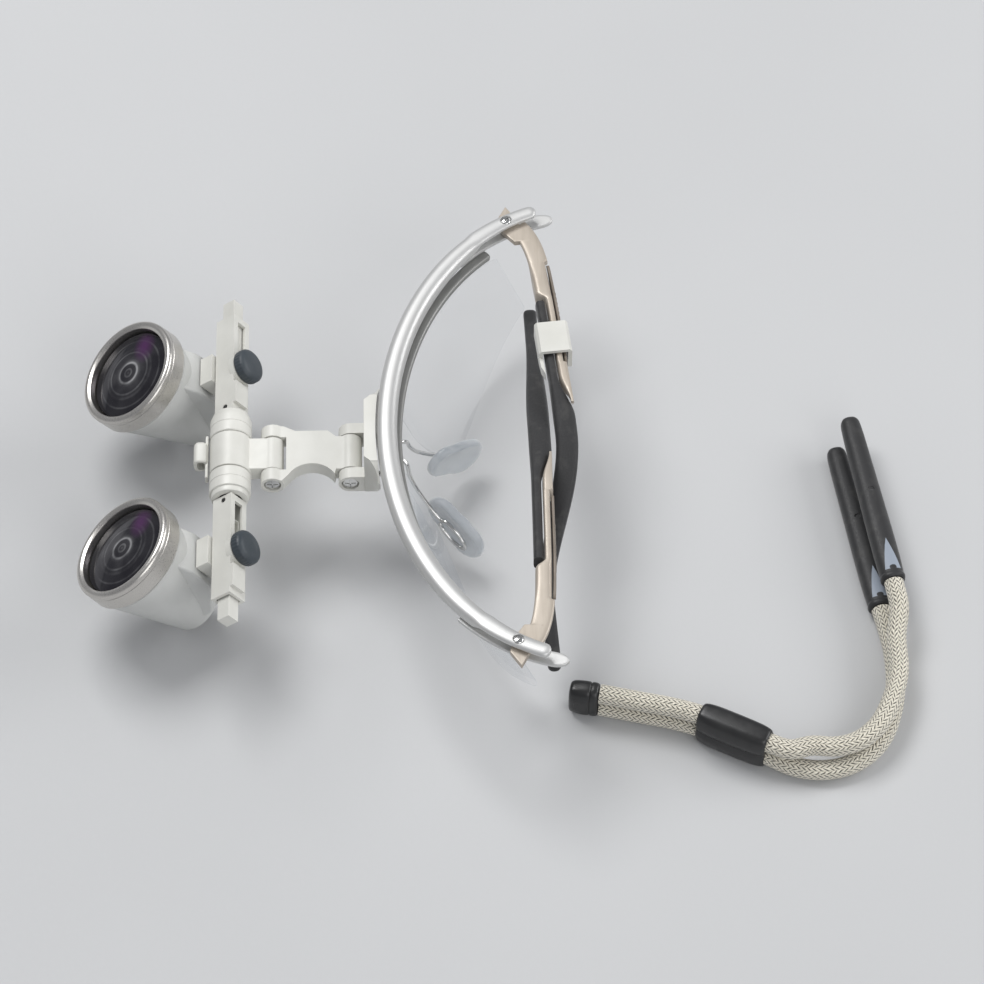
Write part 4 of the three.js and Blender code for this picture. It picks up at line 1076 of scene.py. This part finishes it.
def lens_edges(out):
    nose = progress(out, LENS_INNER, 29.5)
    rim = progress(out, 31, 65.5)
    low = 31 * (1 - sqrt(1 - (1 - nose) ** 2)) + 13.7 * rim**2
    return low, LENS_TOP - 1.2 * rim**6


def strip_outline(half, low, high, steps=22, round_steps=4):
    """An upright strip with round ends: up one side, over the top, down the other and round again."""
    bottom, top = low + half, high - half
    arc = [k / round_steps * pi for k in range(1, round_steps)]
    outline = [(-half, lerp(bottom, top, k / steps)) for k in range(steps + 1)]
    outline += [(-half * cos(a), top + half * sin(a)) for a in arc]
    outline += [(half, lerp(top, bottom, k / steps)) for k in range(steps + 1)]
    outline += [(half * cos(a), bottom - half * sin(a)) for a in arc]
    return outline


def lens(side):
    """A lens shell with rounded edges, its stations closer together at both ends."""
    rings = []
    for t in even(0, 1, 1 / 90):
        out = lerp(LENS_INNER, LENS_OUTER, t - 0.10 * sin(tau * t) / pi)
        x, y, inward = brow_point(-asin(out / BROW_A), RAIL_INSET)
        ring = []
        for off, z in strip_outline(LENS_THICK / 2 * end_cap(t, 0.012), *lens_edges(out)):
            depth = LENS_THICK / 2 + off
            ring.append((x + inward.x * depth, y + inward.y * depth + LENS_LEAN * (LENS_TOP - z), z))
        rings.append(ring)
    obj = loft(f"lens_shell_{side}", rings, frame_place(side))
    finished(obj, f"lens_{side}", limit=60)


# ---- nose bridge and pads

PAD_FACE = Vector((0.77, 0.63, -0.07)).normalized()
PAD_WIDE = PAD_FACE.cross(PAD_LONG).normalized()
PAD_FACE = PAD_LONG.cross(PAD_WIDE)


def pad_point(along, across, off):
    return PAD_CENTRE + PAD_LONG * along + PAD_WIDE * across + PAD_FACE * off


def nose_arm(side):
    path = [(-2.2, BRIDGE_Y + 1.4, 31.3), (-2.6, BRIDGE_Y + 2.6, 32.1), (-3.6, BRIDGE_Y + 4.2, 30.9),
            (-4.8, BRIDGE_Y + 5, 27.2), (-6.2, BRIDGE_Y + 6.8, 23.2)]
    for i in range(11):
        t = pi * (0.94 - i / 10 * 1.8)
        path.append(pad_point(1 + 5 * cos(t), 2.2 * sin(t), -2.3))
    path = smooth_path(path, 0.25)
    obj = tube(f"nose_wire_{side}", path, lambda t: WIRE_R * end_cap(t, 0.015), 16, frame_place(side))
    finished(obj, f"nose_arm_{side}")


def nose_pad(side):
    """A soft pad: a pear-shaped outline, a rounded rim and a slightly dished face."""
    straight, radius, count = 4.9, 5.4, 96
    outline = []
    for i in range(count):
        t = i / count * tau
        c, s = cos(t), sin(t)
        end = radius if c >= 0 else radius * 0.87
        outline.append((copysign(straight, c) * min(1, abs(c) * 6) + end * c, end * s))
    layers = [(0.06, -1.1), (0.45, -1.15), (0.7, -1.35), (0.84, -1.4), (0.93, -1.2), (0.985, -0.7), (1, 0),
              (0.985, 0.7), (0.93, 1.2), (0.84, 1.38), (0.7, 1.32), (0.45, 1.12), (0.06, 1.0)]
    smooth = eased([(share, off, 0) for share, off in layers], 36)
    rings = [[pad_point(u * share, v * share, off) for u, v in outline] for share, off, _ in smooth]
    obj = loft(f"nose_pad_soft_{side}", rings, frame_place(side))
    finished(obj, f"nose_pad_{side}", limit=70)


def bridge():
    refined("nose_bridge", "nose_bridge_plate", 0.3)
    for word, side in SIDES.items():
        place = frame_at(side * BRIDGE_SCREW_X, 0, BRIDGE_SCREW_Z) @ Matrix.Rotation(0.9 * side, 4, "Y")
        screw(f"bridge_screw_head_{word}", f"bridge_screw_{word}", place,
              (-35.6, BRIDGE_Y + 0.5, 0.75), 1.4, BRIDGE_Y + 0.5, BRIDGE_Y + 1.6, 0.3)


# ---- temples

TIP_BEND = {"right": 10.0, "left": 0.0}
FOLD = {"right": RIGHT_FOLD, "left": 0.0}


def temple_place(side):
    place = frame_at(-HINGE_X, 0, 0) @ Matrix.Rotation(FOLD[side], 4, "Z")
    return place if side == "right" else MIRROR @ place


def temple_bow(s, side):
    heel = 7.6 * (1 - exp(-(s + 3) / 6.5))
    return heel - 0.015 * max(0, s - 62) - TIP_BEND[side] * smoothstep(s, 68, 112)


def temple_drop(s):
    curved = min(DROOP_END, max(DROOP_START, s)) - DROOP_START
    return DROOP_SLOPE * (curved**2 / (2 * (DROOP_END - DROOP_START)) + max(0, s - DROOP_END))


def temple_ring(side, s, inner, outer, low, high, squareness, count=32):
    """A temple's section at s along it, between its inner and outer faces."""
    slope = (temple_bow(s + 0.5, side) - temple_bow(s - 0.5, side)) * 0.8
    across = Vector((-slope, 1)).normalized()
    y, z = temple_bow(s, side), (low + high) / 2 - temple_drop(s)
    section = squircle((outer - inner) / 2, (high - low) / 2, count, squareness)
    section = offset(section, (inner + outer) / 2, z)
    return [(s + across.x * out, y + across.y * out, up) for out, up in section]


def temple_arm(side):
    rings = []
    edges = [INLAY_START - 0.35, INLAY_START + 0.05, INLAY_END - 0.05, INLAY_END + 0.35]
    stations = even(0.5, edges[0], 0.7) + even(edges[1], edges[2], 0.7) + even(edges[3], ARM_END, 0.6)
    for s in stations:
        low = lerp(ARM_TOP - EYE_THICK, ARM_BOTTOM, smoothstep(s, 12, 20))
        slim, point = smoothstep(s, 24, 26.4), smoothstep(s, 52, ARM_END)
        inner = lerp(-ARM_FACE, lerp(-0.1, 1.9, point), slim)
        outer = INLAY_SEAT if INLAY_START < s < INLAY_END else ARM_FACE
        floor = lerp(low, ARM_TOP - 1.2, point)
        rings.append(temple_ring(side, s, inner, outer, floor, ARM_TOP, 0.45))
    obj = loft(f"temple_shell_{side}", rings, temple_place(side))
    outline = [(6, 6.4), (0, 3.6), (-1.8, 3.2), (-6.6, 0.7), (-2.2, -2.2), (2, -1.2), (6, 1.6)]
    layers = [[(x, y, z) for x, y in outline] for z in (ARM_TOP - EYE_THICK, ARM_TOP)]
    combine(obj, rounded(loft("eye", layers, temple_place(side)), 0.25, 2), "UNION")
    drill(obj, temple_place(side), SCREW_HOLE_R, ARM_TOP - 3, ARM_TOP + 1)
    finished(obj, f"temple_arm_{side}", limit=32)


def temple_tip(side):
    """The soft tip, hollowed where the arm runs into it."""
    rings = []
    round_start = TEMPLE_LENGTH - TIP_ROUND
    stations = even(SLEEVE_START + 0.8, round_start, 1.0)
    stations += [round_start + TIP_ROUND * sin(k / 6 * pi / 2) for k in range(1, 7)]
    for s in stations:
        grown, taper = smoothstep(s, 52, 64), smoothstep(s, 78, 112)
        nose = round_off((s - round_start) / TIP_ROUND, 0.12)
        outer = lerp(-0.4, 2.7, grown) - 1.1 * taper
        inner = -3 - 0.2 * grown + 1.2 * taper
        high = ARM_TOP - 0.3 - 0.6 * grown - 0.3 * taper
        low = ARM_BOTTOM + 0.2 + 0.8 * taper
        middle, centre = (high + low) / 2, (outer + inner) / 2
        wide, tall = (outer - inner) / 2 * nose, (high - low) / 2 * nose
        edges = (centre - wide, centre + wide, middle - tall, middle + tall)
        rings.append(temple_ring(side, s, *edges, 0.7, 36))
    obj = loft(f"temple_rubber_{side}", rings, temple_place(side))
    fit = []
    for s in even(46, ARM_END + 0.8, 0.8):
        point = smoothstep(s, 52, ARM_END)
        inner, low = lerp(-0.1, 1.9, point) - GAP, lerp(28, ARM_TOP - 1.2 - GAP, point)
        fit.append(temple_ring(side, s, inner, 4, low, ARM_TOP + 2, 0.2, 28))
    combine(obj, loft("fit", fit, temple_place(side)))
    finished(obj, f"temple_tip_{side}")


def temple_inlay(side):
    """The inlay, with a row of plain cross ribs along its middle."""
    rings = []
    start, end = INLAY_START + 0.5, INLAY_END - 0.5
    for s in even(start, end, 0.25):
        low = lerp(ARM_TOP - 2.2, ARM_BOTTOM + 0.7, smoothstep(s, 15.5, 21))
        middle, half = (ARM_TOP - 0.6 + low) / 2, (ARM_TOP - 0.6 - low) / 2
        half *= end_cap((s - start) / (end - start), 0.05)
        rib = 0.1 * max(0.0, cos((s - 31) * tau / 1.6)) if 24 < s < 38 else 0
        edges = (INLAY_SEAT + GAP, 2.8 + rib, middle - half, middle + half)
        rings.append(temple_ring(side, s, *edges, 0.45))
    obj = loft(f"temple_insert_{side}", rings, temple_place(side))
    finished(obj, f"temple_inlay_{side}", limit=50)


for word in SIDES:
    fork_lug(word)
    lens(word)
    nose_arm(word)
    nose_pad(word)
    temple_arm(word)
    temple_tip(word)
    temple_inlay(word)
brow_bar()
under_rail()
hinge_screws()
bridge()
refined("temple_clip", "temple_clip_shell", 0.6)

# ---- mount

for node, edge in (("mount_bracket", 0.35), ("link_arm", 0.5), ("pivot_block", 0.35)):
    refined(node, f"{node}_body", edge)


def pivot_pin(node, y):
    """A pivot pin along X with a cross recess in its head."""
    place = frame_at(0, y, LINK_Z) @ Matrix.Rotation(-pi / 2, 4, "Z")
    screw(f"{node}_screw", node, place, (-FORK_OUT + 0.2, FORK_OUT - 1.2, 1.55), 2.0,
          FORK_OUT - 1.2, FORK_OUT - 0.3, 0.1, cross=True)


pivot_pin("bracket_pin", BRACKET_PIN_Y)
pivot_pin("front_pin", FRONT_PIN_Y)

# ---- optics bar


def barrel_sleeve(side):
    """A half of the flip hinge's barrel: a stepped collar and a fine groove near its outer end."""
    outer_end = [
        (-1.1, 0), (-0.7, 0.15), (-0.55, 0.5), (-0.55, 1.6), (-0.15, 1.7), (0, 1.95), (0, 4.4),
        (-0.14, 4.5), (-0.14, 4.7), (0, 4.8),
    ]
    inner_end = -COLLAR_HALF - GAP
    profile = [
        (BARREL_BORE, -BARREL_HALF), *offset(outer_end, BARREL_R, -BARREL_HALF),
        (BARREL_R, inner_end - 0.25), (BARREL_R - 0.2, inner_end), (BARREL_BORE, inner_end),
        (BARREL_BORE, -BARREL_HALF),
    ]
    turn = Matrix.Rotation(pi / 2 * SIDES[side], 4, "Z")
    obj = turned(f"barrel_half_{side}", profile, OPTICS_PLACE @ turn, 96)
    finished(obj, f"barrel_sleeve_{side}")


def lever_socket():
    """The flip lever's socket: a rounded sleeve that opens towards +X, on a saddle over the barrel."""
    place = frame_at(0, BARREL_Y, LINK_Z)
    rings = []
    for x in even(-5, 2.2, 0.12):
        full = round_off((-3.2 - x) / 1.8, 0.3) * (1 - 0.08 * smoothstep(x, 1.8, 2.2))
        rings.append([(x, SOCKET_Y + y * full, z * full) for y, z in squircle(1.9, 2.4, 48, 0.62)])
    shell = loft("lever_socket_shell", rings, place)
    combine(shell, block("saddle", (-6.8, -6.6, -1.3), (6.8, -BARREL_R - GAP, 1.3), place, 0.25), "UNION")
    pocket = [[(x, SOCKET_Y + y, z) for y, z in squircle(1, 1.5, 32)] for x in (-1.5, 4)]
    combine(shell, loft("pocket", pocket, place))
    finished(shell, "lever_socket")


def knob(side):
    """A thumb knob: a fluted edge, a domed cap and its stem."""
    base = RAIL / 2 + 1.1
    profile = [(0, 0.5), (1.1, 0.5), (1.1, base), (KNOB_R - 0.7, base), (KNOB_R - 0.2, base + 0.15)]
    profile += [(KNOB_R, base + 0.5 + 1.4 * k / 4) for k in range(5)]
    for a in even(0, pi / 2, pi / 20)[1:]:
        profile.append((KNOB_R - 2.2 * (1 - cos(a)), base + 1.9 + 1.5 * sin(a)))
    profile += offset([(2.0, 3.48), (1.3, 3.56), (0.6, 3.6), (0, 3.62)], 0, base)

    def flute(t, radius, y):
        if radius < KNOB_R - 0.3 or y < base + 0.3:
            return 0
        return -0.09 * (1 - smoothstep(y, base + 1.9, base + 2.8)) * (0.5 + 0.5 * cos(30 * t))

    place = OPTICS_PLACE @ Matrix.Translation((KNOB_PLACE[side], 0, 0)) @ UPRIGHT
    finished(turned(f"knob_cap_{side}", profile, place, 240, flute), f"knob_{side}", limit=50)


def telescope_piece(name, node, side, profile, sides, finish=None, limit=35):
    """A piece turned about a telescope's own axis, which points back to the eye."""
    obj = turned(f"{name}_{side}", profile, telescope_place(side), sides)
    finished(obj, f"{node}_{side}", finish, limit)


def bezel(side):
    """The metal ring round the objective: a bright lip, a stepped face and two turned lines."""
    lip = [(0.4, 1.0), (0.55, 0.5), (1.1, 0.08), (1.3, 0)]
    face = [(-0.9, 0), (-0.6, 0.08), (-0.22, 0.36), (-0.05, 0.7), (0, 1.1), (0, 1.7), (-0.12, 1.8),
            (-0.12, 1.95), (0, 2.05)]
    rear = [(0, -0.5), (-0.35, -0.1), (-0.5, 0)]
    profile = [
        *offset(lip, GLASS_R, BEZEL_FRONT), *offset(face, BEZEL_R, BEZEL_FRONT),
        *offset(rear, BEZEL_R, BEZEL_BACK), (GLASS_R + 0.4, BEZEL_BACK),
        *offset(lip[:1], GLASS_R, BEZEL_FRONT),
    ]
    telescope_piece("bezel_ring", "bezel", side, profile, 160, "turned_metal")


def housing(side):
    """The telescope's tapered body with the web that joins it to its arm, bored through."""
    place = telescope_place(side)
    front, back = BEZEL_BACK + GAP, HOUSING_BACK
    profile = [(0, front), (HOUSING_FRONT_R - 0.15, front), (HOUSING_FRONT_R, front + 0.3)]
    for t in even(0, 1, 1 / 20)[1:-1]:
        profile.append((lerp(HOUSING_FRONT_R, HOUSING_BACK_R, t), lerp(front + 0.3, back - BACK_ROUND, t)))
    round_r, round_y = HOUSING_BACK_R - BACK_ROUND, back - BACK_ROUND
    for a in even(0, pi / 2, pi / 12):
        profile.append((round_r + BACK_ROUND * cos(a), round_y + BACK_ROUND * sin(a)))
    profile.append((0, back))
    body = turned(f"telescope_body_{side}", profile, place, 128)
    outline = [(BEZEL_BACK + 1, -9.6), (-4.6, -7.75), (2.6, -7.75), (back - 2, -14.6)]
    outline = [*offset(outline, 0, SIGHT_DROP), (back - 2, 0), (BEZEL_BACK + 1, 0)]
    web = loft("web", [[(x, y, z) for y, z in outline] for x in (-6.5, 6.5)], place)
    combine(body, rounded(web, 0.6, 3), "UNION")
    bore = turned("bore", [(0, BEZEL_BACK - 1), (12.9, BEZEL_BACK - 1), (EYEPIECE_R, back - 4.4),
                           (EYEPIECE_R, back + 1), (0, back + 1)], place, 96)
    combine(body, bore)
    finished(body, f"housing_{side}", limit=30)


def objective(side):
    """The coated front lens."""
    front = [GLASS_R * k / 24 for k in range(25)]
    profile = [(r, GLASS_FRONT + 1.6 * (r / GLASS_R) ** 2) for r in front]
    profile += offset([(0, 2.0), (0, 4.2), (-0.2, 4.4)], GLASS_R, GLASS_FRONT)
    back = [(GLASS_R - 0.2) * (1 - k / 12) for k in range(1, 13)]
    profile += [(r, GLASS_FRONT + 4.8 - 0.4 * (r / GLASS_R) ** 2) for r in back]
    telescope_piece("objective_lens", "objective", side, profile, 128)


def baffle(side):
    """The stepped shield between the lenses, whose ridges catch the light as rings."""
    outer = [(11.6, -11.2), (6.1, 6.9)]
    ridges = [(lerp(5.2, 10.8, t), lerp(6.1, -11.2, t)) for t in even(0, 1, 1 / 9)]
    inner = []
    for (far_r, far_y), (near_r, near_y) in zip(ridges, ridges[1:]):
        inner += [(far_r - 0.2, far_y - 0.1), (far_r - 0.2, far_y - 0.5), (near_r - 0.3, near_y + 0.15)]
    profile = outer + [(4.3, 6.9), (4.3, 6.2)] + inner + outer[:1]
    telescope_piece("baffle_cone", "baffle", side, profile, 96, limit=25)


def eyepiece(side):
    edge = EYEPIECE_R - 1.5
    y = HOUSING_BACK - 4.4
    profile = [(edge * k / 12, y + 0.6 - 0.6 * (k / 12) ** 2) for k in range(13)]
    profile += [(edge * (1 - k / 12), y + 2.1 - 0.3 * (k / 12)) for k in range(13)]
    telescope_piece("eyepiece_lens", "eyepiece", side, profile, 80)
    ring = [(-1.2, -4), (-GAP, -4), (-GAP, -0.7), (-0.45, -0.4), (-0.8, -0.4), (-1.2, -1.1), (-1.2, -4)]
    telescope_piece("eyepiece_retainer", "eyepiece_ring", side, offset(ring, EYEPIECE_R, HOUSING_BACK), 80)


for word in SIDES:
    barrel_sleeve(word)
    refined(f"rail_{word}", f"rail_body_{word}", 0.3)
    refined(f"set_screw_{word}", f"set_screw_body_{word}", 0.08, 2)
    knob(word)
    refined(f"slider_{word}", f"slider_body_{word}", 0.35)
    housing(word)
    bezel(word)
    objective(word)
    baffle(word)
    eyepiece(word)
lever_socket()
axle = frame["nodes"]["swing_axle"]
axle.data.materials.clear()
axle.data.materials.append(FINISHES["black_part"])
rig.slot(axle, "black_part")

# ---- stage


def add_floor():
    """A pale table top."""
    mat = Recipe("floor")
    cloud = mat.noise(6, 3)
    fine = mat.noise(900, 2)
    mat.set(
        color=mat.mix(mat.spread(cloud, 0, 1), (0.56, 0.565, 0.57), (0.535, 0.54, 0.545)),
        roughness=mat.spread(fine, 0.6, 0.75),
    )
    size, height = 3.0, -0.0001
    points = [(-size, -size, height), (size, -size, height), (size, size, height), (-size, size, height)]
    floor = link("floor", points, [(0, 1, 2, 3)])
    floor.data.materials.append(mat.material)
    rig.stage(floor)


AIM = (0.0, 0.02, 0.02)


def add_light(name, place, size, power):
    data = bpy.data.lights.new(name, "AREA")
    data.shape = "RECTANGLE"
    data.size, data.size_y = size
    data.energy = power
    look(new_object(name, data), place, AIM)


def add_world():
    world = bpy.data.worlds.new("studio")
    world.use_nodes = True
    back = world.node_tree.nodes["Background"]
    back.inputs["Color"].default_value = (0.93, 0.95, 1.0, 1)
    back.inputs["Strength"].default_value = 0.30
    bpy.context.scene.world = world


add_floor()
add_world()
add_light("key", (-0.45, -0.35, 1.05), (0.7, 0.5), 9.5)
add_light("fill", (0.9, 0.5, 0.7), (0.9, 0.9), 5)
add_light("back", (-0.2, 1.0, 0.6), (0.8, 0.5), 5)
bpy.context.scene.view_settings.view_transform = "Standard"

with open("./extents.json", "w") as out:
    json.dump({"cad": cad_box, "visual": [list(corner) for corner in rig.bounds()]}, out)
